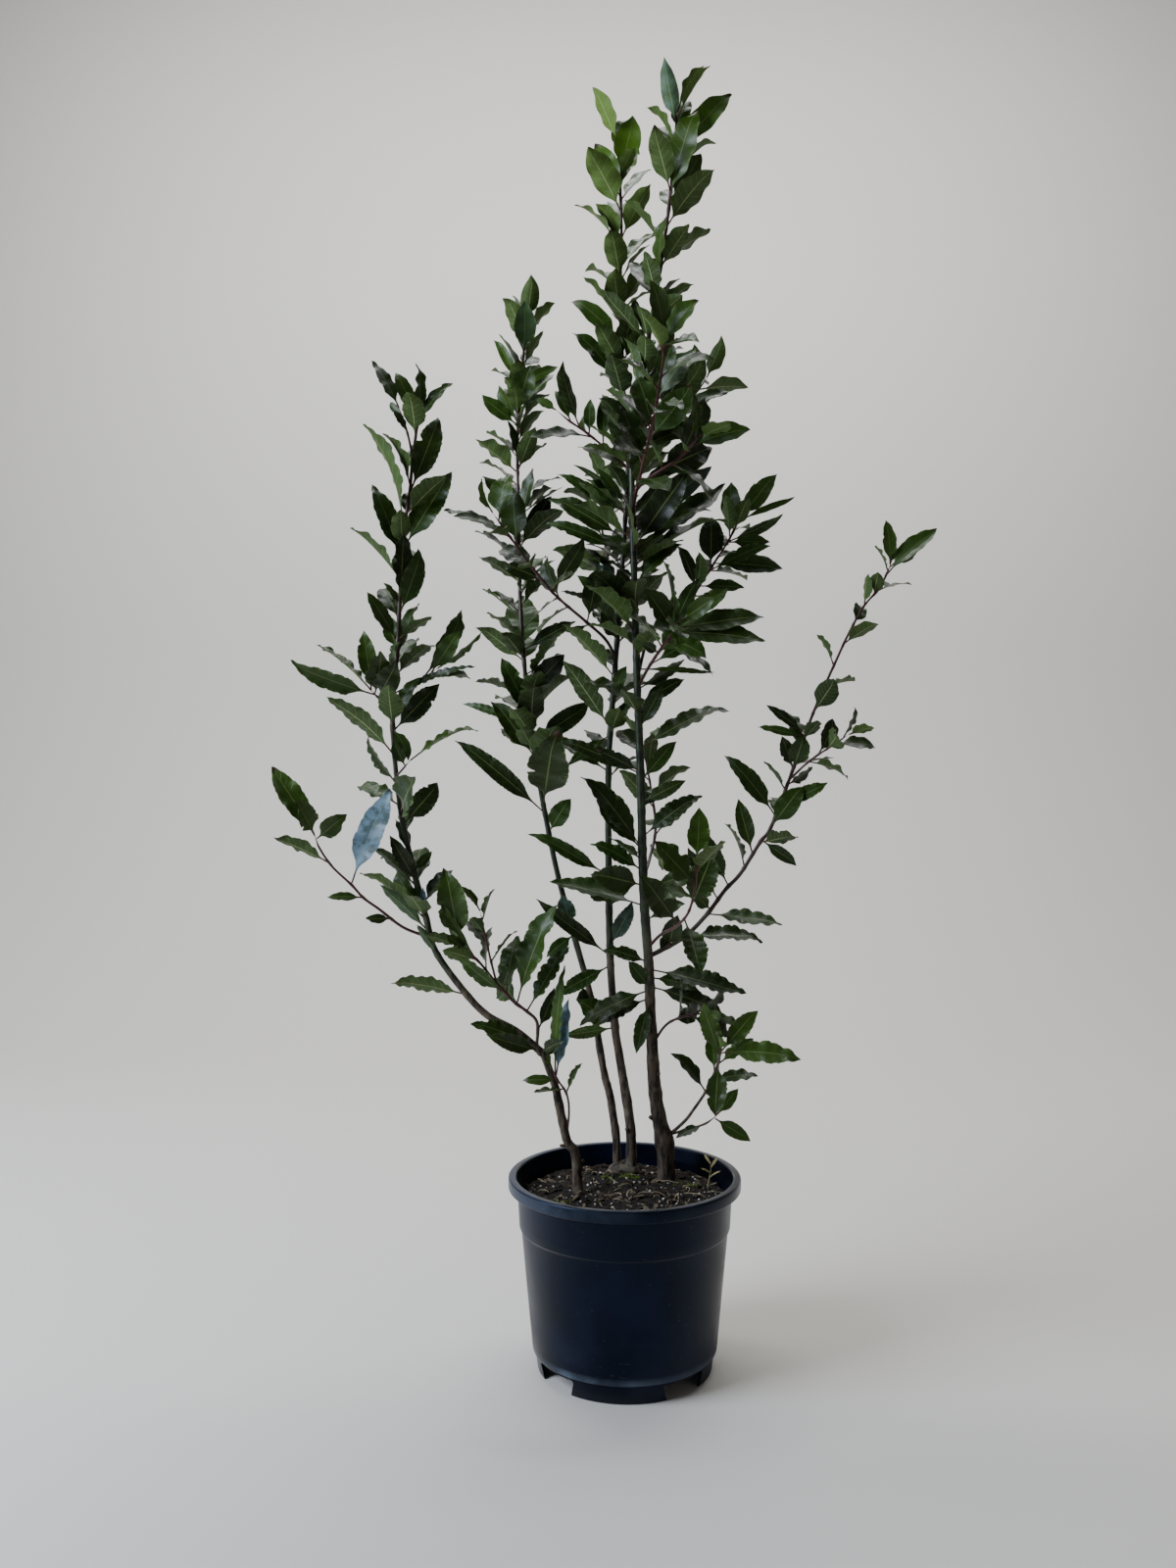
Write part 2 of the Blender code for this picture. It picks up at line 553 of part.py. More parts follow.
def grown_line(stem, lifted):
    """Return a shoot's line; one that goes on from a trunk is lifted: it starts one gap above it."""
    points, radii = stem_line(stem)
    if lifted:
        up = stem.direction(0.0)
        start = points[0]
        points[0:1] = [start + up * GAP, start + up * (GAP + SPLIT_RUN)]
        radii[0:1] = [radii[0], radii[0]]
    return points, radii


def trunk_line(stem, upward):
    """Return a trunk's line: from its foot in the soil to a flat cut square to the next stem."""
    points, radii = stem_line(stem)
    foot = points[0].copy()
    foot.z = TRUNK_DEPTH_Z
    points.insert(0, foot)
    radii.insert(0, radii[0])
    cut = points[-1]
    points[-1:] = [cut - upward * SPLIT_RUN, cut]
    radii.append(radii[-1])
    return points, radii


def outline(share):
    """Return a blade's half width as a share of its greatest, from its base (0) to its tip (1)."""
    share = min(max(share, 0.0), 1.0)
    return share ** OUTLINE_BASE_POWER * (1.0 - share) ** OUTLINE_TIP_POWER / OUTLINE_PEAK


def blade_frame(blade, along):
    """Return a blade's centre point, side and upper directions at a share of its length."""
    length = blade.chord.length
    rise = 4.0 * blade.arch * length * along * (1.0 - along)
    centre = blade.root + blade.chord * along + blade.upper * rise
    tangent = (blade.chord / length + blade.upper * (4.0 * blade.arch * (1.0 - 2.0 * along))).normalized()
    side = blade.chord.cross(blade.upper).normalized()
    upper = side.cross(tangent).normalized()
    turn = blade.twist * (along - 0.5)
    turned_side = side * math.cos(turn) + upper * math.sin(turn)
    turned_upper = upper * math.cos(turn) - side * math.sin(turn)
    return centre, turned_side, turned_upper


def blade_ring(blade, along, pad=0.0):
    """Return a blade's left, right, top and bottom points at a share of its length."""
    centre, side, upper = blade_frame(blade, along)
    share = (along - PETIOLE_SHARE) / (1.0 - PETIOLE_SHARE)
    half_width = max(0.5 * blade.width * outline(share), PETIOLE_HALF_WIDTH) + pad
    in_blade = min(max(share / FULL_SHARE, 0.0), 1.0)
    thick = PETIOLE_HALF_THICKNESS + (MIDRIB_HALF_THICKNESS - PETIOLE_HALF_THICKNESS) * in_blade + pad
    lift = half_width * math.tan(blade.fold) * in_blade
    turn = 2.0 * math.pi * WAVES_A_SIDE * share + blade.phase
    left = lift + blade.wave * in_blade * math.sin(turn)
    right = lift + blade.wave * in_blade * math.sin(turn + RIGHT_LAG)
    return (centre - side * half_width + upper * left, centre + side * half_width + upper * right,
            centre + upper * thick, centre - upper * thick)


def blade_stations(length):
    """Return the shares of its length where a leaf has rings: more on a long one."""
    if length > LONG_LEAF:
        return (PETIOLE_SHARE, 0.34, 0.56, 0.78)
    if length > SHORT_LEAF:
        return (PETIOLE_SHARE, 0.40, 0.70)
    return (PETIOLE_SHARE, 0.55)


def blade_shape(blade, pad=0.0, whole=True):
    """Return a leaf's points and triangles: rings of four points between its root and its tip.

    The quads between two rings are split along the same diagonals on the upper and the lower face.
    A leaf that isn't whole starts at its second ring, clear of its own stem.
    """
    stations = blade_stations(blade.chord.length)[0 if whole else 1:]
    points = [point for share in stations for point in blade_ring(blade, share, pad)]
    triangles = [(0, 2, 3), (1, 3, 2)]
    if whole:
        root = len(points) + 1
        triangles = [(0, 2, root), (2, 1, root), (1, 3, root), (3, 0, root)]
    for row in range(len(stations) - 1):
        left, right, top, bottom = range(4 * row, 4 * row + 4)
        next_left, next_right, next_top, next_bottom = range(4 * row + 4, 4 * row + 8)
        triangles += [(left, next_top, top), (left, next_left, next_top),
                      (right, top, next_top), (right, next_top, next_right),
                      (left, bottom, next_bottom), (left, next_bottom, next_left),
                      (right, next_bottom, bottom), (right, next_right, next_bottom)]
    left, right, top, bottom = range(4 * len(stations) - 4, 4 * len(stations))
    tip = len(points)
    points.append(blade_frame(blade, 1.0)[0])
    points.append(blade.root - blade.chord.normalized() * ROOT_DEPTH)
    triangles += [(left, tip, top), (right, top, tip), (left, bottom, tip), (right, tip, bottom)]
    return points, triangles


def blade_object(name, blade, group):
    """Return a leaf as a closed mesh object."""
    points, triangles = blade_shape(blade)
    shape = bmesh.new()
    corners = [shape.verts.new(point) for point in points]
    for triangle in triangles:
        shape.faces.new([corners[index] for index in triangle])
    bmesh.ops.recalc_face_normals(shape, faces=shape.faces)
    return bmesh_object(name, shape, group)


class Obstacle:
    """A solid that leaves keep clear of, with its box for a quick first test."""

    def __init__(self, points, triangles):
        self.tree = BVHTree.FromPolygons([tuple(point) for point in points], triangles)
        self.low = [min(point[axis] for point in points) for axis in range(3)]
        self.high = [max(point[axis] for point in points) for axis in range(3)]

    def meets(self, other):
        """Return whether this solid's surface crosses another's."""
        for axis in range(3):
            if self.low[axis] > other.high[axis] or other.low[axis] > self.high[axis]:
                return False
        return bool(self.tree.overlap(other.tree))


def mesh_obstacle(made):
    """Return an object's mesh as an obstacle."""
    points = [made.matrix_world @ corner.co for corner in made.data.vertices]
    return Obstacle(points, [tuple(face.vertices) for face in made.data.polygons])


class Grower:
    """Places the leaves of all shoots, each clear of the stems and of the leaves before it."""

    def __init__(self, stems, obstacles):
        self.stems = stems
        self.obstacles = obstacles
        self.leaves = []
        self.blades = {name: [] for name in stems}
        self.left_out = 0

    def clear(self, name, blade):
        """Return a padded leaf's obstacle, or None where it meets a stem or another leaf."""
        whole = Obstacle(*blade_shape(blade, LEAF_PAD))
        beyond = Obstacle(*blade_shape(blade, LEAF_PAD, whole=False))
        for other, solid in self.obstacles.items():
            if (beyond if other == name else whole).meets(solid):
                return None
        if any(whole.meets(leaf) for leaf in self.leaves):
            return None
        return whole

    def grow(self, name, blades):
        """Keep the first of a leaf's possible positions that is clear, and return it."""
        for blade in blades:
            solid = self.clear(name, blade)
            if solid is not None:
                self.leaves.append(solid)
                self.blades[name].append(blade)
                return blade
        self.left_out += 1
        return None

    def named_leaves(self, shoot, draw):
        """Grow a shoot's own leaves, each rolled or swung a little where it would touch."""
        stem = self.stems[shoot.name]
        for leaf in shoot.leaves:
            root = stem.point(leaf.at * MM)
            reach = Vector((leaf.x, leaf.y, leaf.z)) * MM
            upper = upper_side(reach, stem.direction(leaf.at * MM), math.radians(leaf.roll))
            habit = leaf_habit(draw, leaf.width * MM)
            first = Blade(root, reach, upper, leaf.width * MM, **habit)
            self.grow(shoot.name, swung(first, draw))

    def spiral_leaves(self, shoot, draw):
        """Grow a shoot's remaining leaves in a spiral, closer and steeper towards its tip."""
        stem = self.stems[shoot.name]
        first_turn = draw.uniform(0.0, 2.0 * math.pi)
        for index in range(shoot.count):
            share = index / max(shoot.count - 1, 1)
            along = stem.length * (1.0 - (1.0 - shoot.bare) * (1.0 - share) ** TIP_CROWDING)
            length = MM * mix(shoot.lengths, share) * draw.uniform(*SIZES)
            pitch_deg = mix(shoot.pitch, share ** 2) + draw.uniform(-PITCH_SPREAD_DEG, PITCH_SPREAD_DEG)
            turn = first_turn + index * GOLDEN_ANGLE + draw.uniform(-TURN_SPREAD, TURN_SPREAD)
            roll = draw.uniform(-ROLL_SPREAD, ROLL_SPREAD)
            width = length * draw.uniform(*BROADNESS)
            habit = leaf_habit(draw, width)
            leaves = turned(stem, along, turn, math.radians(pitch_deg), length, roll, width, habit)
            self.grow(shoot.name, leaves)


def mix(ends, share):
    """Return the value at a share between two ends."""
    return ends[0] + (ends[1] - ends[0]) * share


def upper_side(reach, up, roll):
    """Return the direction that a leaf's upper face looks in: towards the stem's tip, then rolled."""
    along = reach.normalized()
    facing = up - along * up.dot(along)
    if facing.length < 0.05:
        facing = along.orthogonal()
    return Matrix.Rotation(roll, 3, along) @ facing.normalized()


def leaf_habit(draw, width):
    """Return a leaf's arch, twist, fold and margin wave, drawn for its size."""
    return {
        "arch": draw.uniform(*ARCHES),
        "twist": draw.uniform(-TWIST, TWIST),
        "fold": math.radians(draw.uniform(*FOLDS_DEG)),
        "wave": WAVE_SHARE * width * draw.uniform(*WAVES),
        "phase": draw.uniform(0.0, 2.0 * math.pi),
    }


def swung(first, draw):
    """Yield a placed leaf, then the same leaf rolled and swung ever further."""
    yield first
    for attempt in range(1, TRIES):
        roll = math.radians(draw.uniform(-ROLL_A_TRY_DEG, ROLL_A_TRY_DEG) * attempt)
        swing = Vector((draw.uniform(-1, 1), 2.0 * draw.uniform(-1, 1), draw.uniform(-1, 1)))
        chord = first.chord + swing * (SWING_A_TRY * attempt * first.chord.length)
        along = chord.normalized()
        upper = (first.upper - along * first.upper.dot(along)).normalized()
        upper = Matrix.Rotation(roll, 3, along) @ upper
        yield replace(first, chord=chord, upper=upper, arch=first.arch * (1.0 - attempt / TRIES))


def turned(stem, along, turn, pitch, length, roll, width, habit):
    """Yield a spiral leaf, then the same leaf at other turns about its stem."""
    up = stem.direction(along)
    across = up.orthogonal().normalized()
    for attempt in range(TRIES):
        angle = turn + attempt * TURN_A_TRY
        outward = Matrix.Rotation(angle, 3, up) @ across
        size = 1.0 - SHRINK_A_TRY * attempt
        reach = (up * math.cos(pitch) + outward * math.sin(pitch)) * length * size
        upper = upper_side(reach, up, roll)
        yield Blade(stem.point(along), reach, upper, width * size, **habit)


def revolved(name, profile, steps, group):
    """Return a turned solid of a profile in the XZ plane that starts and ends on the axis."""
    shape = bmesh.new()
    corners = [shape.verts.new((radius, 0.0, height)) for radius, height in profile]
    for start, stop in zip(corners, corners[1:]):
        shape.edges.new((start, stop))
    made = bmesh_object(name, shape, group)
    screw = made.modifiers.new("turned", "SCREW")
    screw.steps = steps
    screw.render_steps = steps
    screw.use_merge_vertices = True
    screw.merge_threshold = MERGE
    apply_modifiers(made)
    return made


def pot_profile():
    """Return the pot's outline from the middle of its floor, over the rim, to the middle below."""
    top = POT_HEIGHT
    rim_bottom = POT_HEIGHT - RIM_HEIGHT
    rim_inside = RIM_RADIUS - RIM_WIDTH
    step_z = COLLAR_FOOT_Z - COLLAR_STEP
    wall_top = COLLAR_FOOT_RADIUS - COLLAR_STEP
    return (
        (0.0, FLOOR_TOP_Z),
        (WALL_FOOT_RADIUS - WALL, FLOOR_TOP_Z),
        (COLLAR_TOP_RADIUS - WALL, rim_bottom),
        (rim_inside, top - RIM_ROUND),
        (rim_inside + RIM_ROUND, top),
        (RIM_RADIUS - RIM_ROUND, top),
        (RIM_RADIUS, top - RIM_ROUND),
        (RIM_RADIUS, rim_bottom + RIM_ROUND),
        (RIM_RADIUS - RIM_ROUND, rim_bottom),
        (COLLAR_TOP_RADIUS, rim_bottom),
        (COLLAR_FOOT_RADIUS, COLLAR_FOOT_Z),
        (wall_top, step_z),
        (WALL_FOOT_RADIUS, WALL_FOOT_Z),
        (WALL_FOOT_RADIUS - WALL / 2, FLOOR_TOP_Z),
        (FOOT_TOP_RADIUS, FLOOR_TOP_Z - WALL / 4),
        (FOOT_BOTTOM_RADIUS, 0.0),
        (FOOT_BOTTOM_RADIUS - WALL, 0.0),
        (FOOT_TOP_RADIUS - WALL, FLOOR_UNDERSIDE_Z),
        (0.0, FLOOR_UNDERSIDE_Z),
    )


def notch_angles():
    """Return the angles of the foot's notches about the pot's axis."""
    return [math.radians(FIRST_NOTCH_DEG + 360.0 * index / NOTCHES) for index in range(NOTCHES)]


def notch_cutter(angle, group):
    """Return a wedge that cuts one notch, wider at its top, out of the foot ring."""
    shape = bmesh.new()
    bmesh.ops.create_cube(shape, size=1.0)
    for corner in shape.verts:
        reach = NOTCH_CUT_REACH + corner.co.x * NOTCH_CUT_DEPTH
        if corner.co.z > 0:
            corner.co = (reach, math.copysign(NOTCH_TOP_HALF_WIDTH, corner.co.y), NOTCH_TOP_Z)
        else:
            corner.co = (reach, math.copysign(NOTCH_BOTTOM_HALF_WIDTH, corner.co.y), -WALL)
    bmesh.ops.rotate(shape, verts=shape.verts, matrix=Matrix.Rotation(angle, 3, "Z"))
    return bmesh_object("notch", shape, group)


def drain_cutter(angle, group):
    """Return a round cutter for the drain hole behind one notch."""
    shape = bmesh.new()
    place = Matrix.Translation((DRAIN_HOLE_REACH * math.cos(angle), DRAIN_HOLE_REACH * math.sin(angle),
                                (FLOOR_TOP_Z + FLOOR_UNDERSIDE_Z) / 2))
    bmesh.ops.create_cone(shape, cap_ends=True, segments=DRAIN_HOLE_SIDES, radius1=DRAIN_HOLE_RADIUS,
                          radius2=DRAIN_HOLE_RADIUS, depth=DRAIN_CUT_HEIGHT, matrix=place)
    return bmesh_object("drain", shape, group)


def make_pot(group):
    """Make the pot: a turned shell with a rolled rim, a notched foot ring and drain holes."""
    pot = revolved("pot", pot_profile(), POT_STEPS, group)
    cutters = new_collection("pot_cutters")
    for angle in notch_angles():
        notch_cutter(angle, cutters)
        drain_cutter(angle, cutters)
    boolean(pot, "DIFFERENCE", cutters)
    pot.data.materials.clear()
    pot.data.materials.append(material("black_plastic", BLACK_PLASTIC))
    smooth(pot, 30.0)
    return pot


def soil_height(x, y):
    """Return the soil's height at a place: a low mound with lumps."""
    reach = math.hypot(x, y) / COLLAR_TOP_RADIUS
    lump = noise.noise(Vector((x, y, 0.3)) * SOIL_LUMP_PITCH)
    crumb = noise.noise(Vector((x, y, 1.7)) * SOIL_CRUMB_PITCH)
    return SOIL_TOP_Z + SOIL_MOUND * (1.0 - reach * reach) + SOIL_LUMP * (lump + 0.5 * crumb)


def make_soil(group, cutters):
    """Make the soil: it fills the pot one gap clear of it, lumpy on top, with the trunks' holes."""
    bottom_radius = WALL_FOOT_RADIUS - WALL
    wall_height = POT_HEIGHT - RIM_HEIGHT - FLOOR_TOP_Z
    slope = (COLLAR_TOP_RADIUS - WALL - bottom_radius) / wall_height
    flat = math.cos(math.pi / POT_STEPS)
    edge = (bottom_radius + slope * (SOIL_TOP_Z - SOIL_LUMP - FLOOR_TOP_Z)) * flat - GAP
    floor = FLOOR_TOP_Z + GAP
    profile = ((0.0, SOIL_TOP_Z), *((radius, SOIL_TOP_Z) for radius in reversed(SOIL_RINGS)),
               (edge, SOIL_TOP_Z), (bottom_radius * flat - GAP, floor), (0.0, floor))
    soil = revolved("potting_soil", profile, POT_STEPS, group)
    for corner in soil.data.vertices:
        if abs(corner.co.z - SOIL_TOP_Z) < 0.0001:
            corner.co.z = soil_height(corner.co.x, corner.co.y)
    boolean(soil, "DIFFERENCE", cutters)
    soil.data.materials.clear()
    soil.data.materials.append(material("soil", SOIL_BROWN))
    smooth(soil, 60.0)
    return soil


def knob(name, centre, radii, group, grow=0.0):
    """Return a lumpy swelling of wood as a closed mesh object."""
    shape = bmesh.new()
    bmesh.ops.create_uvsphere(shape, u_segments=KNOB_SIDES, v_segments=KNOB_ROWS, radius=1.0)
    bmesh.ops.triangulate(shape, faces=shape.faces, quad_method="FIXED")
    middle = Vector(centre) * MM
    for corner in shape.verts:
        lump = noise.noise(corner.co * KNOB_LUMP_PITCH + middle * KNOB_LUMP_SHIFT)
        size = Vector(radii) * MM * (1.0 + KNOB_LUMP_SHARE * lump)
        corner.co = middle + Vector([co * (extent + grow) for co, extent in zip(corner.co, size)])
    return bmesh_object(name, shape, group)


def make_lines(stems):
    """Return every shoot's points and radii: trunks end square where their leafy stems go on."""
    lines = {}
    for trunk, main in zip(TRUNKS, MAIN_STEMS):
        lines[trunk.name] = trunk_line(stems[trunk.name], stems[main.name].direction(0.0))
        lines[main.name] = grown_line(stems[main.name], lifted=True)
    for shoot in TWIGS + SPRAYS + (SEEDLING,):
        lines[shoot.name] = grown_line(stems[shoot.name], lifted=False)
    return lines


def padded_tube(name, line, pad, group, sides=STEM_ROUNDNESS):
    """Return a shoot's tube with its radius grown by a pad."""
    points, radii = line
    return tube(name, points, [radius + pad for radius in radii], group, sides)


def stem_obstacles(lines, scratch):
    """Return each shoot's padded tube, and the pot and soil as one drum, as obstacles."""
    obstacles = {}
    for name, line in lines.items():
        made = padded_tube(name, line, STEM_PAD, scratch)
        obstacles[name] = mesh_obstacle(made)
        bpy.data.objects.remove(made, do_unlink=True)
    shape = bmesh.new()
    height = POT_HEIGHT + 2 * STEM_PAD
    bmesh.ops.create_cone(shape, cap_ends=True, segments=POT_STEPS, radius1=RIM_RADIUS + 2 * STEM_PAD,
                          radius2=RIM_RADIUS + 2 * STEM_PAD, depth=height,
                          matrix=Matrix.Translation((0, 0, height / 2)))
    bmesh.ops.triangulate(shape, faces=shape.faces)
    drum = bmesh_object("drum", shape, scratch)
    obstacles["pot"] = mesh_obstacle(drum)
    bpy.data.objects.remove(drum, do_unlink=True)
    return obstacles


def finish_node(made, look, name):
    """Tidy a joined node's mesh, and give it its material and smooth shading."""
    shape = bmesh.new()
    shape.from_mesh(made.data)
    bmesh.ops.triangulate(shape, faces=shape.faces)
    shape.to_mesh(made.data)
    shape.free()
    made.data.materials.clear()
    made.data.materials.append(material(name, look))
    smooth(made, 50.0)


def make_trunks(lines, group):
    """Make the woody trunks, the centre pair joined at its root flare and the right one with its burl."""
    for trunk in (TRUNKS[0], TRUNKS[1], TRUNKS[3]):
        made = padded_tube(trunk.node, lines[trunk.name], 0.0, group, TRUNK_ROUNDNESS)
        joined = new_collection("joined")
        if trunk.node == "trunk_centre_pair":
            padded_tube("twin", lines["trunk_centre_right"], 0.0, joined, TRUNK_ROUNDNESS)
            knob("flare", FLARE_CENTRE, FLARE_RADII, joined)
        if trunk.node == "trunk_right":
            knob("burl", BURL_CENTRE, BURL_RADII, joined)
        if joined.objects:
            boolean(made, "UNION", joined)
        else:
            bpy.data.collections.remove(joined)
        finish_node(made, WOOD, trunk.node)


def soil_cutters(lines):
    """Return the cutters of the trunks' plain holes in the soil, one gap larger than the wood."""
    cutters = new_collection("soil_cutters")
    for trunk in TRUNKS:
        points, radii = lines[trunk.name]
        foot = points[0] - Vector((0, 0, GAP))
        padded_tube(trunk.name, ([foot, *points[1:]], radii), HOLE_GAP, cutters, TRUNK_ROUNDNESS)
    knob("flare", FLARE_CENTRE, FLARE_RADII, cutters, FLARE_GAP)
    points, radii = lines[SEEDLING.name]
    foot = points[0] - Vector((0, 0, HOLE_GAP))
    padded_tube(SEEDLING.name, ([foot, *points[1:]], radii), HOLE_GAP, cutters)
    return cutters


def seat_cutters(shoot, lines):
    """Return the parent stems' tubes, one gap larger, that cut a spray's saddle."""
    cutters = new_collection("seat_cutters")
    for seat in shoot.seats:
        if seat == "burl":
            knob("burl", BURL_CENTRE, BURL_RADII, cutters, SEAT_GAP)
        else:
            sides = TRUNK_ROUNDNESS if seat.startswith("trunk") else STEM_ROUNDNESS
            padded_tube(seat, lines[seat], SEAT_GAP, cutters, sides)
    return cutters


def roundness(shoot):
    """Return how round a shoot's tube is: a thin twig has fewer sides."""
    return STEM_ROUNDNESS if shoot.diameters[0] > TWIG_DIAMETER else TWIG_ROUNDNESS


def make_leafy_node(main, shoots, lines, blades, look, group):
    """Make one leafy node: its main tube joined with its twigs and leaves, then cut to its seat."""
    made = padded_tube(main.node, lines[main.name], 0.0, group, roundness(main))
    joined = new_collection("joined")
    for shoot in shoots:
        if shoot is not main:
            padded_tube(shoot.name, lines[shoot.name], 0.0, joined, roundness(shoot))
        for blade in blades[shoot.name]:
            blade_object("leaf", blade, joined)
    boolean(made, "UNION", joined)
    if main.seats:
        boolean(made, "DIFFERENCE", seat_cutters(main, lines))
    finish_node(made, look, main.node)
    return made


def grow_leaves(stems, lines, scratch):
    """Return every shoot's blades: the leaves placed one by one first, then the spiral ones."""
    obstacles = stem_obstacles(lines, scratch)
    del obstacles[SEEDLING.name]
    grower = Grower(stems, obstacles)
    leafy = MAIN_STEMS + TWIGS + SPRAYS
    for index, shoot in enumerate(leafy):
        grower.named_leaves(shoot, random.Random(MAIN_SEED + index))
    for index, shoot in enumerate(leafy):
        grower.spiral_leaves(shoot, random.Random(SPIRAL_SEED + index))
    print("leaves placed:", sum(map(len, grower.blades.values())), "left out:", grower.left_out)
    return grower.blades


def seedling_blades(stems):
    """Return the dry seedling's small leaves, which stand clear of everything."""
    grower = Grower(stems, {})
    grower.named_leaves(SEEDLING, random.Random(SEEDLING_SEED))
    return grower.blades


def main():
    """Build the plant, its soil and its pot."""
    clear_scene()
    group = new_collection("bay_laurel_in_pot")
    scratch = new_collection("scratch")
    stems = {shoot.name: Stem(shoot) for shoot in SHOOTS + (SEEDLING,)}
    lines = make_lines(stems)
    make_pot(group)
    make_trunks(lines, group)
    make_soil(group, soil_cutters(lines))
    blades = grow_leaves(stems, lines, scratch)
    for first in MAIN_STEMS + SPRAYS:
        shoots = [shoot for shoot in MAIN_STEMS + TWIGS + SPRAYS if shoot.node == first.node]
        make_leafy_node(first, shoots, lines, blades, GREEN, group)
    make_leafy_node(SEEDLING, [SEEDLING], lines, seedling_blades(stems), DRY, group)
    bpy.data.collections.remove(scratch)


main()
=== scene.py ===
"""Bay laurel in a nursery pot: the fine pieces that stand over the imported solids.

The stems follow the same routes as the solids, and the same rule places the same leaves. Each solid
leaf is drawn again as a thin blade with its veins, waved margin and hooked tip. Lengths are metres
unless a name or a comment says millimetres.
"""

import logging
import math
import random
from collections.abc import Callable, Iterator
from dataclasses import dataclass, field, replace
from enum import Enum
from functools import partial
from itertools import chain, islice, starmap
from typing import NamedTuple

import bmesh
import bpy
from mathutils import Matrix, Vector, noise
from mathutils.bvhtree import BVHTree

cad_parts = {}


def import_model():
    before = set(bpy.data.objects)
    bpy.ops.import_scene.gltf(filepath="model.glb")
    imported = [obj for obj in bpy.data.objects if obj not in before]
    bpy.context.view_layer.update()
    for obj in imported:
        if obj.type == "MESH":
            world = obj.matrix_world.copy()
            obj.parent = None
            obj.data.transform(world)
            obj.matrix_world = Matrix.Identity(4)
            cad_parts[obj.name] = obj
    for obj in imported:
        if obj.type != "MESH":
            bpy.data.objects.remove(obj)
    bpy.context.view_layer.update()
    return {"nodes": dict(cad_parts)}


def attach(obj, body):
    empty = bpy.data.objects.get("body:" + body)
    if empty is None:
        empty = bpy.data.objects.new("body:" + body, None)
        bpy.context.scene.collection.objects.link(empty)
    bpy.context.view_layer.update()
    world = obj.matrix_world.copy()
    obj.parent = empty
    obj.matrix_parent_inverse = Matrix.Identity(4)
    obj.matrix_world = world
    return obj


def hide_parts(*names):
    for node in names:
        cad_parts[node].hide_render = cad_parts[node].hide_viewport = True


LOG = logging.getLogger("bay_laurel")

MM = 0.001
MERGE = 0.00001
GAP = 0.0003
GOLDEN_ANGLE = math.radians(137.5)

# Growing rule, with the same values as the solids
ROUTE_STEPS = 12
DIRECTION_REACH = 0.003
BOW_SHARE = 0.25
LONGEST_RUN = 0.080
SPLIT_RUN = 0.006
TRUNK_DEPTH_Z = 0.120
PETIOLE_SHARE = 0.12
PETIOLE_HALF_WIDTH = 0.0012
PETIOLE_HALF_THICKNESS = 0.0010
MIDRIB_HALF_THICKNESS = 0.0006
ROOT_DEPTH = 0.0006
OUTLINE_BASE_POWER = 0.70
OUTLINE_TIP_POWER = 0.85
OUTLINE_PEAK = 0.344
LONG_LEAF = 0.088
SHORT_LEAF = 0.046
BROADNESS = (0.34, 0.45)
FULL_SHARE = 0.25
ARCHES = (0.00, 0.09)
TWIST = 0.5
FOLDS_DEG = (6.0, 22.0)
WAVE_SHARE = 0.045
WAVES = (0.6, 1.6)
WAVES_A_SIDE = 3.0
RIGHT_LAG = 2.0
TIP_CROWDING = 1.25
LEAST_FACING = 0.05
SIZES = (0.84, 1.14)
PITCH_SPREAD_DEG = 7.0
TURN_SPREAD = 0.25
ROLL_SPREAD = 0.45
LEAF_PAD = 0.0008
STEM_PAD = 0.0008
TRIES = 20
TURN_A_TRY = math.radians(31.0)
ROLL_A_TRY_DEG = 9.0
SWING_A_TRY = 0.018
SHRINK_A_TRY = 0.02
MAIN_SEED = 1180
SPIRAL_SEED = 1280
SEEDLING_SEED = 1279
ROOT_SLIDES = (0.0, 4.0, -4.0, 8.0, -8.0, 13.0, -13.0)
SEEN_TRIES = 9
UPPER_SHOWN = (0.0, -1.0, 0.25)
UNDER_SHOWN = (0.0, 1.0, -0.2)
TUFT_SEED = 1700
TUFT_PAD = 0.0002
TUFT_BROADNESS = (0.40, 0.52)
TUFT_PITCH_SPREAD_DEG = 9.0
BROADER = 1.06

# The photograph's view: the eye in metres, the lens and the middle of the picture in its pixels
EYE = Vector((-0.0409, -1.368, 0.625))
LENS_PIXELS = 1237.0
MIDDLE = Vector((600.0, 820.0))

# Pot and soil, with the same values as the solids
POT_HEIGHT = 0.210
RIM_RADIUS = 0.130
SOLID_STEPS = 32


class Leaf(NamedTuple):
    """A leaf placed one by one: millimetres up its stem, reach to its tip, width, roll in degrees, and how
    much silver-blue reflection is painted into its colour.
    """

    at: float
    x: float
    y: float
    z: float
    width: float
    roll: float
    painted_sheen: float = 0.0


@dataclass(frozen=True)
class Shoot:
    """One stem or twig: its route in millimetres, its thickness and its leaves, each a row of Leaf."""

    name: str
    node: str
    route: tuple[tuple[float, float, float], ...]
    diameters: tuple[float, float]
    leaves: tuple[tuple[float, ...], ...] = ()
    count: int = 0
    bare: float = 0.3
    lengths: tuple[float, float] = (70.0, 45.0)
    pitch: tuple[float, float] = (60.0, 30.0)


@dataclass(frozen=True)
class Blade:
    """One leaf as a surface: root on the stem's centre line, chord to the tip and its shape."""

    root: Vector
    chord: Vector
    upper: Vector
    width: float
    arch: float
    twist: float
    fold: float
    wave: float
    phase: float
    # How much silver-blue reflection is painted into the leaf's colour, a painted sheen
    painted_sheen: float = 0.0


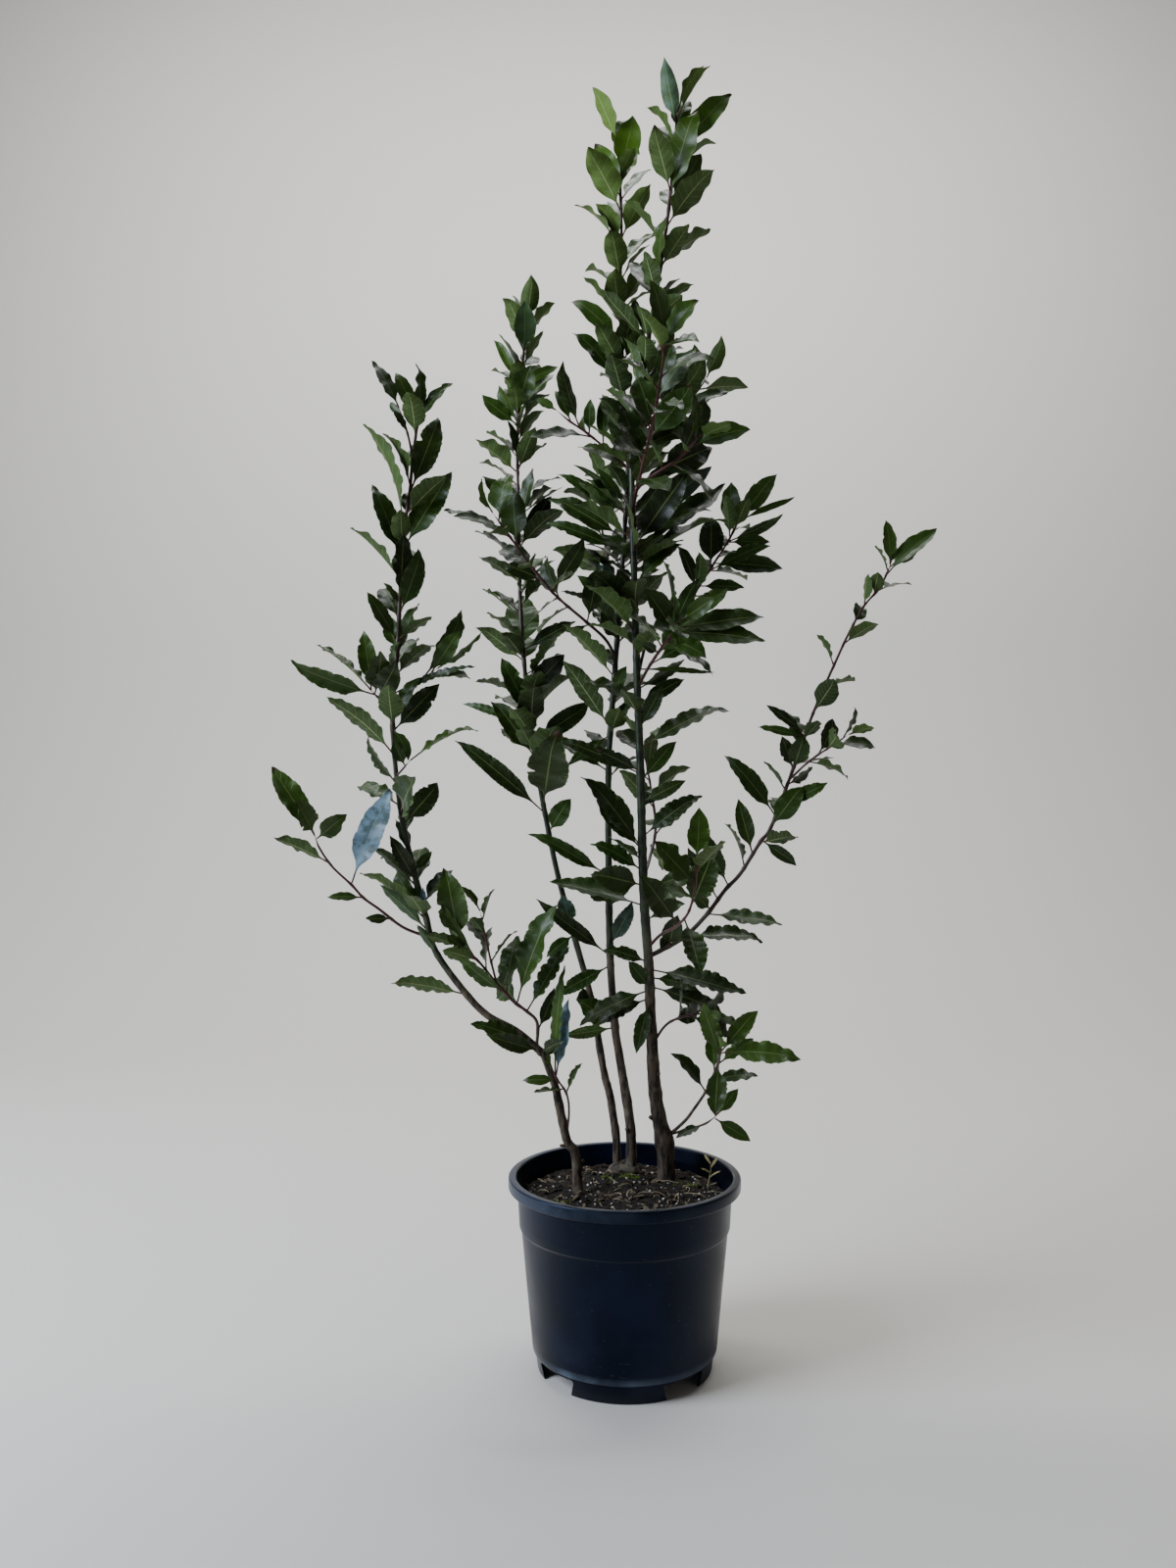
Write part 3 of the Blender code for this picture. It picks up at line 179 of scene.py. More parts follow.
TRUNKS = (
    Shoot("trunk_left", "trunk_left", ((-52, 0, 185), (-55, -2, 232), (-65, -5, 250), (-77, -10, 307),
        (-90, -15, 346)), (11, 8.4)),
    Shoot("trunk_centre_left", "trunk_centre_pair", ((-5, 78, 185), (-6, 79, 200), (-8, 80, 233),
        (-15, 84, 278), (-23, 88, 311), (-36, 92, 387)), (10, 8)),
    Shoot("trunk_centre_right", "trunk_centre_pair", ((9, 75, 185), (10, 76, 200), (10, 76, 234),
        (5, 78, 273), (-8, 82, 351)), (13, 9.6)),
    Shoot("trunk_right", "trunk_right", ((50, 55, 185), (50, 54, 205), (49, 54, 228), (42, 52, 258),
        (36, 50, 302), (34, 50, 343), (32, 50, 384)), (20, 12)),
)

MAIN_STEMS = (
    Shoot("stem_left", "leafy_stem_left", ((-90, -15, 346), (-119, -20, 372), (-154, -26, 393),
        (-183, -32, 426), (-209, -36, 465), (-218, -38, 499), (-229, -40, 541), (-245, -44, 615),
        (-253, -48, 694), (-253, -50, 740), (-248, -52, 795), (-245, -54, 856), (-241, -56, 921),
        (-234, -58, 965), (-231, -60, 1001), (-224, -60, 1046)), (8.4, 2.6),
        leaves=((110, -83, -15, 18, 23, 50), (558, 3, -15, 76, 27, -95), (542, 25, 10, 74, 23, 70),
        (553, -16, -5, 25, 8, -60), (513, -31, -15, 53, 17, -75), (503, -14, 12, 43, 18, -50),
        (498, 20, 15, 56, 19, 55), (416, 50, 5, 53, 23, 90), (424, 32, -20, 50, 17, 85),
        (470, 11, -38, 39, 23, 95), (389, -74, -10, 63, 26, 45), (327, 26, -72, 37, 37, 95),
        (314, 39, 10, 46, 24, 85), (280, -22, 5, 40, 15, -50), (242, -48, -12, 48, 19, 35),
        (262, 19, 8, 21, 10, 80), (220, -31, 10, 38, 21, -50), (204, -67, -15, 60, 25, 35),
        (602, -34, 5, 86, 25, -45), (613, 53, 12, 91, 29, 65), (634, -41, -8, 117, 34, 15),
        (675, 32, 8, 88, 26, 70), (753, -25, 0, 57, 17, -70), (756, 4, -12, 57, 19, -95),
        (750, 39, -5, 46, 16, 65)), count=8, bare=0.32, lengths=(78, 60), pitch=(56, 26)),
    Shoot("stem_centre_left", "leafy_stem_centre_left", ((-36, 92, 387), (-44, 95, 418), (-60, 98, 474),
        (-78, 102, 541), (-92, 108, 607), (-104, 112, 673), (-115, 118, 757), (-122, 122, 830),
        (-126, 128, 915), (-128, 135, 1014), (-129, 140, 1088), (-124, 143, 1162), (-118, 145, 1230)),
        (8, 2.4), leaves=((677, -10, -8, 49, 14, -95), (581, -45, 5, 81, 25, -60),
        (589, 19, -20, 72, 21, 95), (555, 0, -25, 77, 22, 95), (502, 2, -60, 53, 40, 95),
        (435, -6, 60, 79, 41, 5), (423, -57, -5, 45, 20, 55), (352, -37, -8, 75, 24, -95),
        (302, -53, 5, 74, 25, -80), (245, 15, -64, 84, 48, 145), (323, 72, 10, 49, 24, 95)), count=31,
        bare=0.36, lengths=(80, 54), pitch=(58, 24)),
    Shoot("stem_centre_right", "leafy_stem_centre_right", ((-8, 82, 351), (-14, 85, 434), (-16, 88, 541),
        (-16, 88, 674), (-8, 86, 792), (0, 84, 907), (7, 82, 1025), (5, 80, 1070), (1, 76, 1139),
        (-2, 72, 1230), (-1, 68, 1310), (-3, 65, 1378), (-4, 64, 1412)), (9.6, 2.6),
        leaves=((827, -60, 5, 58, 23, -70), (776, -60, -5, 65, 24, -65), (365, -57, -8, 82, 27, 55),
        (313, -68, 10, 43, 22, -45), (1025, 17, -5, 69, 30, 95), (998, -30, 5, 69, 28, -85)), count=38,
        bare=0.38, lengths=(88, 68), pitch=(58, 26)),
    Shoot("stem_right", "leafy_stem_right", ((32, 50, 384), (30, 49, 436), (24, 47, 524), (20, 44, 673),
        (17, 42, 749), (13, 38, 881), (10, 34, 1010), (10, 32, 1048), (19, 30, 1103), (27, 28, 1146),
        (33, 26, 1188), (40, 25, 1227), (51, 22, 1301), (59, 20, 1377), (62, 20, 1422)), (12, 2.8),
        leaves=((1035, -9, 6, 53, 16, -80), (1040, 26, -8, 48, 18, 95), (997, 67, 5, 76, 27, 80),
        (941, 30, -15, 104, 34, 95), (847, 12, -18, 59, 27, 95), (702, -6, -8, 85, 23, 30),
        (673, -5, -55, 30, 32, -95), (680, 37, -10, 62, 20, 95), (661, 114, -5, 61, 32, 50),
        (650, 99, 5, 37, 28, 50), (619, 48, -8, 54, 20, 95), (532, -13, -68, 55, 44, -95),
        (535, 112, 10, 79, 34, 40), (520, 101, -5, 61, 32, 50), (328, 27, -8, 50, 18, 95),
        (357, 56, 5, 30, 17, 50), (305, 103, -5, 52, 31, 35), (268, 41, 8, 48, 18, 80),
        (243, 51, -12, 26, 16, 95), (202, 70, 5, 51, 23, 55), (140, 97, -5, 21, 27, 40),
        (105, 48, 10, 22, 15, 65), (162, -62, -8, 35, 19, -60), (188, -69, 5, 88, 30, -50),
        (279, -52, -10, 26, 16, -95), (146, -60, -25, 16, 30, -90), (122, -112, 8, 27, 31, -30),
        (56, -54, -8, 18, 16, -60), (48, 111, -20, -27, 31, 30), (38, 59, 8, -16, 17, 50),
        (28, 93, 12, -37, 27, 45), (24, -84, -10, -38, 25, -35), (14, -64, 10, -32, 19, -50),
        (10, -17, -25, -56, 17, -20)), count=31, bare=0.34, lengths=(88, 68), pitch=(58, 26)),
)

TWIGS = (
    Shoot("twig_left_top", "leafy_stem_left", ((-231, -60, 1001), (-236, -64, 1025), (-245, -68, 1053)),
        (2.6, 2), leaves=((51, -30, 0, 54, 17, -15), (26, -14, -8, 22, 9, -85), (44, -15, 8, 18, 8, -55))),
    Shoot("twig_left_cluster", "leafy_stem_left", ((-252, -49, 726), (-264, -56, 736), (-275, -62, 747)),
        (3.2, 2.4), leaves=((23, 27, -42, 33, 25, 95), (28, 11, -40, 40, 27, 95), (33, -10, 5, 67, 19, 65),
        (32, -63, 15, 53, 22, 70), (27, -70, -20, 18, 20, -15))),
    Shoot("twig_left_small", "leafy_stem_left", ((-253, -46, 652), (-243, -50, 662), (-234, -54, 672)),
        (2.6, 2), leaves=((20, -12, -8, 27, 15, -70), (27, 74, 0, 40, 20, -20))),
    Shoot("twig_left_inner", "leafy_stem_left", ((-252, -50, 740), (-232, -54, 752), (-215, -58, 763),
        (-204, -60, 771)), (3, 2), leaves=((36, 44, 15, 80, 25, -5), (49, 33, -12, 46, 19, -90),
        (57, 47, 5, 42, 17, 45), (44, 51, -25, -3, 15, 55))),
    Shoot("twig_left_low", "spray_left_low", ((-141, -38, 429), (-148, -42, 458), (-154, -45, 486),
        (-158, -46, 507)), (2.6, 2), count=5, bare=0.3, lengths=(46, 38), pitch=(56, 22)),
    Shoot("twig_far_right", "branch_far_right", ((197, 60, 654), (218, 48, 675), (240, 34, 691),
        (258, 24, 704)), (3, 2), count=6, bare=0.35, lengths=(58, 42), pitch=(60, 25)),
)

SPRAYS = (
    Shoot("spray_far_left", "spray_far_left", ((-213, -37, 478), (-242, -44, 490), (-267, -50, 510),
        (-284, -54, 523), (-296, -57, 537), (-316, -62, 557), (-329, -68, 578), (-333, -70, 591)),
        (3.6, 2.2), leaves=((139, -60, -5, 28, 18, 70), (171, -50, 5, 76, 25, -35),
        (173, -26, -15, 55, 23, -95), (169, 34, -8, 27, 20, 95), (106, 42, 8, 103, 30, 60, 0.8),
        (87, -38, -8, 1, 10, -60), (49, -26, -12, 1, 10, -95))),
    Shoot("spray_left_low", "spray_left_low", ((-98, -16, 353), (-97, -25, 383), (-109, -30, 397),
        (-124, -34, 409), (-143, -38, 431), (-160, -40, 452), (-180, -40, 469)), (4, 2.2),
        leaves=((64, 42, -15, 113, 33, 40), (50, 44, 5, 73, 23, 30), (22, 20, 10, 46, 15, 50)), count=7,
        bare=0.4, lengths=(72, 52), pitch=(60, 28)),
    Shoot("basal_twig_left", "basal_twig_left", ((-65, -5, 250), (-62, -16, 284), (-65, -22, 305),
        (-75, -26, 321), (-81, -28, 333)), (2.8, 2), leaves=((77, -39, -6, 1, 11, -70),
        (58, 17, -8, 36, 11, 20)), count=2, bare=0.7, lengths=(34, 28), pitch=(60, 20)),
    Shoot("spray_grey_twig", "spray_grey_twig", ((6, 82, 1029), (-23, 76, 1053), (-47, 72, 1071),
        (-63, 70, 1081), (-78, 68, 1093)), (3.2, 2), leaves=((73, -24, -5, 78, 22, -60),
        (85, -21, 8, 41, 14, 55), (59, 1, -6, 41, 14, 85), (38, 2, 5, 62, 17, 75),
        (54, -78, -10, -4, 21, -45)), count=2, bare=0.6, lengths=(40, 34), pitch=(60, 20)),
    Shoot("spray_front_centre", "spray_front_centre", ((-7, 86, 799), (-20, 70, 820), (-44, 50, 839),
        (-75, 20, 861), (-92, 0, 877), (-111, -20, 899), (-132, -40, 926), (-144, -50, 941)), (4, 2),
        leaves=((208, -75, -5, 32, 22, 15), (126, 39, -10, 60, 20, 55), (63, 15, -8, 67, 25, 55)), count=6,
        bare=0.4, lengths=(70, 54), pitch=(65, 28)),
    Shoot("spray_right_high", "spray_right_high", ((16, 42, 767), (28, 48, 814), (47, 56, 844),
        (75, 66, 861), (92, 74, 885), (110, 82, 913), (129, 88, 943), (144, 92, 973)), (4, 2),
        leaves=((251, 22, 5, 45, 19, -95), (217, 51, -5, -1, 16, 95), (185, 85, 5, -5, 23, 90),
        (150, 54, -5, -2, 16, 95), (143, -21, -5, 55, 16, -90)), count=6, bare=0.4, lengths=(66, 50),
        pitch=(62, 26)),
    Shoot("spray_right_front", "spray_right_front", ((18, 42, 762), (29, 20, 782), (43, -8, 802),
        (52, -30, 813), (60, -54, 824)), (4, 2.2), leaves=((106, 96, -15, 12, 26, -5),
        (95, 99, -30, -13, 28, 0), (101, -1, -15, 40, 13, -30), (57, -19, -15, 10, 11, -55),
        (79, 54, -10, -37, 18, -15)), count=6, bare=0.4, lengths=(74, 56), pitch=(64, 28)),
    Shoot("spray_crown_front", "spray_crown_front", ((10, 35, 982), (24, 18, 995), (45, -5, 1004),
        (65, -28, 1012), (80, -50, 1026)), (4, 2.2), count=8, bare=0.35, lengths=(74, 58), pitch=(64, 28)),
    Shoot("spray_crown_back", "spray_crown_back", ((11, 32, 1052), (34, 50, 1074), (58, 75, 1096),
        (87, 97, 1121), (104, 112, 1146)), (4, 2), count=8, bare=0.35, lengths=(74, 56), pitch=(62, 26)),
    Shoot("branch_far_right", "branch_far_right", ((29, 49, 446), (70, 52, 468), (98, 54, 495),
        (120, 55, 524), (138, 56, 543), (161, 58, 579), (174, 58, 597), (196, 60, 653), (204, 60, 675),
        (221, 61, 722), (235, 62, 756), (252, 63, 793), (267, 64, 825), (286, 65, 859), (305, 66, 881),
        (318, 66, 908)), (5.6, 2.2), leaves=((557, -6, -5, 54, 16, -95), (555, 38, 8, 52, 19, 40),
        (544, 62, -5, 54, 23, 60), (128, -36, -5, 68, 21, -95), (175, -17, 5, 66, 19, -90),
        (228, -61, -8, 73, 26, -65), (195, 43, 5, -29, 14, 95), (87, 87, -12, -10, 24, 45),
        (48, 94, 10, -3, 26, 30), (239, 57, -8, 28, 17, 75)), count=15, bare=0.28, lengths=(60, 42),
        pitch=(60, 26)),
    Shoot("spray_low_right", "spray_low_right", ((51, 54, 236), (70, 40, 257), (80, 28, 274), (94, 12, 301),
        (105, 0, 332), (108, -6, 349)), (4.2, 2.4), leaves=((139, 90, -10, -5, 26, 30),
        (128, -6, -12, -59, 22, 20), (140, 42, 8, 47, 20, 40), (135, -21, -8, 61, 20, -65)), count=6,
        bare=0.6, lengths=(62, 46), pitch=(66, 30)),
    Shoot("sprig_low_right", "sprig_low_right", ((50, 58, 236), (78, 64, 243), (97, 66, 248),
        (111, 66, 258)), (3, 2), leaves=((48, -35, -14, -12, 12, 40), (62, 43, -5, -26, 16, 85),
        (66, 26, 5, 31, 14, -70)), count=2, bare=0.7, lengths=(40, 34), pitch=(60, 25)),
    Shoot("sprig_above_burl", "sprig_above_burl", ((34, 50, 344), (52, 44, 370), (81, 36, 382),
        (97, 30, 382)), (3.4, 2.2), count=6, bare=0.45, lengths=(62, 46), pitch=(64, 30)),
    Shoot("spray_back_low", "spray_back_low", ((23, 47, 536), (33, 82, 560), (42, 118, 596), (38, 146, 642),
        (30, 164, 692)), (4.4, 2.2), count=9, bare=0.3, lengths=(76, 56), pitch=(62, 28)),
    Shoot("spray_back_high", "spray_back_high", ((-3, 85, 862), (-8, 112, 890), (-16, 138, 930),
        (-24, 156, 980), (-22, 168, 1030)), (4.2, 2), count=9, bare=0.3, lengths=(74, 56), pitch=(62, 28)),
    Shoot("spray_front_high", "spray_front_high", ((11, 37, 942), (12, 4, 968), (20, -42, 1000),
        (28, -90, 1030), (34, -134, 1064), (36, -166, 1092)), (4.2, 2), count=13, bare=0.3,
        lengths=(76, 58), pitch=(62, 28)),
    Shoot("spray_front_low", "spray_front_low", ((30, 49, 458), (42, 14, 476), (56, -32, 490),
        (66, -78, 510), (70, -112, 540), (70, -128, 566)), (4, 2.2), count=7, bare=0.45, lengths=(78, 58),
        pitch=(64, 30)),
)

SEEDLING = Shoot("dry_weed_seedling", "dry_weed_seedling", ((96, 22, 184), (97, 21, 196), (99, 19, 208),
    (98, 16, 219)), (1.8, 1.4), leaves=((15, 13, -5, 9, 6, 20), (20, -12, -7, 8, 6, -30),
    (27, 9, 9, 10, 6, 10), (32, -7, 5, 10, 6, -20)))

SHOOTS = TRUNKS + MAIN_STEMS + TWIGS + SPRAYS + (SEEDLING,)


class SeenLeaf(NamedTuple):
    """A leaf measured on the photograph in its pixels: its root, its tip and its width.

    Its tip stands back from its root by some millimetres. It may carry a share of painted silver-blue sheen,
    a reflection painted into its colour, and it shows its upper face or its underside.
    """

    root_x: float
    root_y: float
    tip_x: float
    tip_y: float
    width: float
    back: float
    painted_sheen: float = 0.0
    under: bool = False


# Leaves that the photograph shows between those of the solids, each a row of SeenLeaf
SEEN_LEAVES: dict[str, tuple[tuple, ...]] = {
    "twig_left_inner": ((431, 690, 394, 737, 16, -25, 0.5),),
    "stem_left": ((400, 798, 375, 749, 18, 14), (547, 1075, 478, 1038, 20, -16),
        (548, 1070, 497, 1056, 17, -34), (424, 900, 398, 852, 15, -14), (408, 712, 483, 690, 9, -10),
        (403, 750, 420, 778, 13, -12), (438, 955, 389, 902, 13, -24, 0.1, True),
        (450, 974, 424, 942, 10, -20, 0.1, True), (424, 931, 432, 905, 7, -14, 0.6),
        (552, 1090, 574, 1063, 14, -30), (566, 1092, 595, 1082, 5, -10)),
    "spray_left_low": ((470, 964, 455, 884, 29, -14), (470, 964, 480, 851, 23, 8, 0.35),
        (492, 985, 511, 913, 27, -10, 0.12), (520, 1015, 470, 975, 15, -12), (491, 970, 449, 916, 6, -18),
        (478, 972, 455, 953, 14, -10), (499, 975, 545, 950, 10, -6), (514, 1008, 520, 986, 14, -8)),
    "basal_twig_left": ((564, 1092, 573, 1012, 19, -12, 0.8), (528, 1032, 562, 996, 13, -16)),
    "stem_centre_right": ((622, 985, 565, 1016, 15, -14), (630, 1048, 576, 1056, 12, -20, 0, True),
        (621, 925, 605, 889, 26, -14), (620, 893, 540, 847, 14, -10), (622, 975, 547, 918, 15, -18),
        (634, 380, 616, 331, 24, -22), (632, 548, 561, 504, 21, 8), (632, 596, 594, 556, 26, -14),
        (633, 560, 611, 508, 20, 6), (635, 522, 568, 479, 13, -8), (631, 615, 608, 573, 17, -20, 0.5),
        (632, 562, 554, 530, 14, 4), (622, 930, 634, 884, 24, -12), (623, 965, 647, 921, 16, -12, 0.15),
        (626, 1052, 590, 1021, 24, 10), (630, 515, 609, 475, 10, -6), (625, 507, 587, 470, 6, 12, 0, True),
        (628, 512, 597, 494, 12, -14, 0.1, True), (628, 625, 589, 585, 15, -6), (628, 622, 568, 598, 9, 4),
        (634, 605, 608, 636, 9, -14, 0.2, True), (626, 653, 612, 624, 15, -16), (626, 748, 641, 709, 15, 8),
        (628, 708, 638, 679, 13, -12), (622, 750, 578, 781, 11, -8)),
    "stem_centre_left": ((590, 952, 557, 976, 13, -10), (533, 412, 541, 370, 25, -26),
        (538, 362, 541, 303, 22, -14, 0.1), (526, 432, 490, 402, 16, -6), (527, 430, 512, 392, 16, 8),
        (530, 436, 540, 408, 21, -22), (531, 440, 572, 412, 22, 0), (531, 420, 566, 384, 22, 12),
        (534, 392, 570, 371, 12, 8), (533, 390, 506, 343, 10, 5), (529, 560, 556, 495, 20, 10),
        (588, 945, 573, 912, 17, -6, 0.2), (560, 850, 582, 814, 19, -10), (541, 706, 571, 664, 23, -12),
        (548, 662, 588, 633, 15, 6), (556, 830, 464, 753, 18, -10), (540, 740, 471, 716, 9, 20),
        (600, 1050, 588, 1020, 20, -10)),
    "stem_right": ((653, 868, 610, 812, 22, 0), (660, 1008, 641, 980, 15, -10),
        (648, 790, 562, 749, 15, -12), (648, 560, 704, 478, 28, -22), (648, 540, 724, 474, 20, 10, 0.1),
        (648, 500, 714, 464, 15, 16), (648, 535, 737, 520, 13, 10), (649, 600, 694, 547, 21, 8),
        (650, 700, 697, 667, 15, 6), (650, 690, 730, 687, 6, 8), (652, 604, 674, 611, 12, -12),
        (688, 130, 682, 61, 17, -8, 0.25, True), (693, 122, 719, 55, 19, 8), (689, 184, 712, 90, 29, -22),
        (690, 208, 719, 145, 25, 10), (684, 168, 671, 98, 12, -4), (647, 606, 629, 580, 13, -20, 0, True)),
    "spray_right_high": ((722, 577, 726, 525, 24, 8), (746, 540, 750, 495, 21, 6),
        (756, 530, 795, 479, 19, -8), (756, 528, 814, 507, 7, 5), (728, 585, 787, 553, 14, -12),
        (744, 556, 801, 525, 11, -12, 0, True)),
    "spray_right_front": ((668, 640, 712, 588, 16, 10), (688, 648, 724, 629, 12, -16, 0, True),
        (664, 678, 726, 642, 17, 4), (694, 634, 745, 600, 18, 8)),
    "branch_far_right": ((682, 965, 690, 933, 20, -14), (672, 970, 681, 951, 14, 6),
        (731, 917, 701, 871, 15, -8), (724, 927, 704, 910, 14, -14), (785, 843, 819, 801, 22, -8),
        (806, 784, 798, 751, 15, -12), (808, 784, 821, 749, 20, -16), (816, 802, 830, 779, 14, 6),
        (816, 746, 782, 719, 10, 6), (812, 748, 773, 741, 9, -6)),
    "spray_front_centre": ((604, 643, 572, 646, 8, 6),),
}


class Tuft(NamedTuple):
    """Leaves in a spiral on a stretch of a stem: its ends and their length in millimetres, their pitch."""

    low: float
    high: float
    count: int
    length: float
    pitch_deg: float


# Tufts that thicken the crown between the leaves of the solids, each a row of Tuft
MORE_TUFTS: dict[str, tuple[tuple, ...]] = {
    "stem_left": ((430, 540, 8, 56, 55), (570, 750, 8, 60, 36), (190, 310, 5, 52, 55)),
    "stem_centre_left": ((705, 800, 8, 50, 55), (380, 680, 18, 60, 55), (285, 375, 5, 70, 58)),
    "stem_centre_right": ((880, 1040, 6, 52, 45), (730, 880, 10, 58, 55), (430, 730, 20, 62, 58),
        (280, 420, 5, 58, 58)),
    "stem_right": ((800, 1030, 8, 54, 38), (660, 800, 9, 58, 55), (400, 660, 14, 62, 62),
        (90, 380, 5, 58, 62)),
    "spray_front_centre": ((100, 240, 5, 54, 55),),
    "spray_right_high": ((90, 250, 7, 48, 52),),
    "spray_right_front": ((50, 122, 4, 52, 55),),
    "spray_back_high": ((60, 190, 4, 54, 55),),
    "spray_front_high": ((80, 250, 5, 54, 55),),
    "branch_far_right": ((265, 350, 3, 40, 55), (505, 556, 3, 36, 55)),
}


class Face(Enum):
    """The finish that a face of a leafy piece takes, by its material slot."""

    BARK = 0
    UPPER = 1
    UNDER = 2


def by_node(shoots: tuple[Shoot, ...]) -> dict[str, list[Shoot]]:
    """Group shoots by the solid node that they stand for."""
    nodes: dict[str, list[Shoot]] = {}
    for shoot in shoots:
        nodes.setdefault(shoot.node, []).append(shoot)
    return nodes


def outward(side: Vector, up: Vector, angle: float) -> Vector:
    """Return the direction at an angle from a side, about an upward axis."""
    return side * math.cos(angle) + up.cross(side) * math.sin(angle)


def smooth_route(points: tuple[tuple[float, float, float], ...]) -> list[Vector]:
    """Sample a smooth curve through a route's points.

    Args:
        points: the route in millimetres.

    Returns:
        Close points on the curve, in metres.
    """
    knots = [Vector(point) * MM for point in points]
    ends = [2 * knots[0] - knots[1], *knots, 2 * knots[-1] - knots[-2]]
    curve = []
    for before, start, stop, after in zip(ends, ends[1:], ends[2:], ends[3:]):
        for step in range(ROUTE_STEPS):
            t = step / ROUTE_STEPS
            curve.append(0.5 * (2 * start + (stop - before) * t
                                + (2 * before - 5 * start + 4 * stop - after) * t * t
                                + (3 * start - before - 3 * stop + after) * t ** 3))
    curve.append(knots[-1])
    return curve


class Stem:
    """A shoot's centre line with its thickness, measured along its length."""

    def __init__(self, shoot: Shoot) -> None:
        """Lay the centre line of a shoot."""
        self.shoot = shoot
        self.curve = smooth_route(shoot.route)
        self.marks = [0.0]
        for start, stop in zip(self.curve, self.curve[1:]):
            self.marks.append(self.marks[-1] + (stop - start).length)
        self.length = self.marks[-1]

    def point(self, along: float) -> Vector:
        """Return the centre line's point at a distance along it."""
        along = min(max(along, 0.0), self.length)
        for index, mark in enumerate(self.marks[1:], start=1):
            if mark >= along:
                break
        start, stop = self.marks[index - 1], self.marks[index]
        share = (along - start) / max(stop - start, 1e-9)
        return self.curve[index - 1].lerp(self.curve[index], share)

    def direction(self, along: float) -> Vector:
        """Return the unit direction at a distance along the centre line."""
        ahead, behind = self.point(along + DIRECTION_REACH), self.point(along - DIRECTION_REACH)
        return (ahead - behind).normalized()

    def radius(self, along: float) -> float:
        """Return the stem's radius at a distance along it."""
        base, tip = self.shoot.diameters
        share = held(along / self.length)
        return 0.5 * MM * (base + (tip - base) * share)

    def samples(self) -> list[float]:
        """Return distances up the stem between which straight runs keep close to its centre line."""
        samples = [0.0]
        last = 0
        for index in range(2, len(self.curve)):
            run = (self.curve[index] - self.curve[last]).normalized()
            offsets = [point - self.curve[last] for point in self.curve[last + 1:index]]
            bow = max((offset - run * offset.dot(run)).length for offset in offsets)
            length = self.marks[index] - self.marks[last]
            if bow > BOW_SHARE * self.radius(self.marks[last]) or length > LONGEST_RUN:
                last = index - 1
                samples.append(self.marks[last])
        return samples + [self.length]

    def solid_line(self, lifted: bool) -> tuple[list[Vector], list[float]]:
        """Return the points and radii of the stem's plain tube.

        Args:
            lifted: whether the stem goes on from a trunk and starts one gap above it.

        Returns:
            The tube's points and the radius at each.
        """
        marks = self.samples()
        points = [self.point(mark) for mark in marks]
        radii = [self.radius(mark) for mark in marks]
        if lifted:
            up = self.direction(0.0)
            start = points[0]
            points[0:1] = [start + up * GAP, start + up * (GAP + SPLIT_RUN)]
            radii[0:1] = [radii[0], radii[0]]
        return points, radii

    def trunk_line(self, upward: Vector) -> tuple[list[Vector], list[float]]:
        """Return the points and radii of a trunk's plain tube, cut square to a direction at its top."""
        points, radii = self.solid_line(False)
        foot = points[0].copy()
        foot.z = TRUNK_DEPTH_Z
        points.insert(0, foot)
        radii.insert(0, radii[0])
        cut = points[-1]
        points[-1:] = [cut - upward * SPLIT_RUN, cut]
        radii.append(radii[-1])
        return points, radii


def held(value: float) -> float:
    """Return a value held between 0 and 1."""
    return min(max(value, 0.0), 1.0)


def mix(ends: tuple[float, float], share: float) -> float:
    """Return the value at a share between two ends."""
    return ends[0] + (ends[1] - ends[0]) * share


def beyond(value: float, start: float, span: float) -> float:
    """Return how far a value lies past a start, as a share of a span and never below 0."""
    return max(0.0, (value - start) / span)


def outline(share: float) -> float:
    """Return a blade's half width as a share of its greatest, from its base (0) to its tip (1)."""
    share = held(share)
    return share ** OUTLINE_BASE_POWER * (1.0 - share) ** OUTLINE_TIP_POWER / OUTLINE_PEAK


def blade_frame(blade: Blade, along: float) -> tuple[Vector, Vector, Vector]:
    """Return a blade's centre point, side and upper directions at a share of its length."""
    length = blade.chord.length
    rise = 4.0 * blade.arch * length * along * (1.0 - along)
    centre = blade.root + blade.chord * along + blade.upper * rise
    tangent = (blade.chord / length + blade.upper * (4.0 * blade.arch * (1.0 - 2.0 * along))).normalized()
    side = blade.chord.cross(blade.upper).normalized()
    upper = side.cross(tangent).normalized()
    turn = blade.twist * (along - 0.5)
    turned_side = side * math.cos(turn) + upper * math.sin(turn)
    turned_upper = upper * math.cos(turn) - side * math.sin(turn)
    return centre, turned_side, turned_upper


def blade_ring(blade: Blade, along: float, pad: float) -> tuple[Vector, Vector, Vector, Vector]:
    """Return the plain leaf's left, right, top and bottom points at a share of its length."""
    centre, side, upper = blade_frame(blade, along)
    share = (along - PETIOLE_SHARE) / (1.0 - PETIOLE_SHARE)
    half_width = max(0.5 * blade.width * outline(share), PETIOLE_HALF_WIDTH) + pad
    in_blade = held(share / FULL_SHARE)
    thick = PETIOLE_HALF_THICKNESS + (MIDRIB_HALF_THICKNESS - PETIOLE_HALF_THICKNESS) * in_blade + pad
    lift = half_width * math.tan(blade.fold) * in_blade
    turn = math.tau * WAVES_A_SIDE * share + blade.phase
    left = lift + blade.wave * in_blade * math.sin(turn)
    right = lift + blade.wave * in_blade * math.sin(turn + RIGHT_LAG)
    return (centre - side * half_width + upper * left, centre + side * half_width + upper * right,
            centre + upper * thick, centre - upper * thick)


def blade_stations(length: float) -> tuple[float, ...]:
    """Return the shares of its length where a plain leaf has rings."""
    if length > LONG_LEAF:
        return (PETIOLE_SHARE, 0.34, 0.56, 0.78)
    if length > SHORT_LEAF:
        return (PETIOLE_SHARE, 0.40, 0.70)
    return (PETIOLE_SHARE, 0.55)


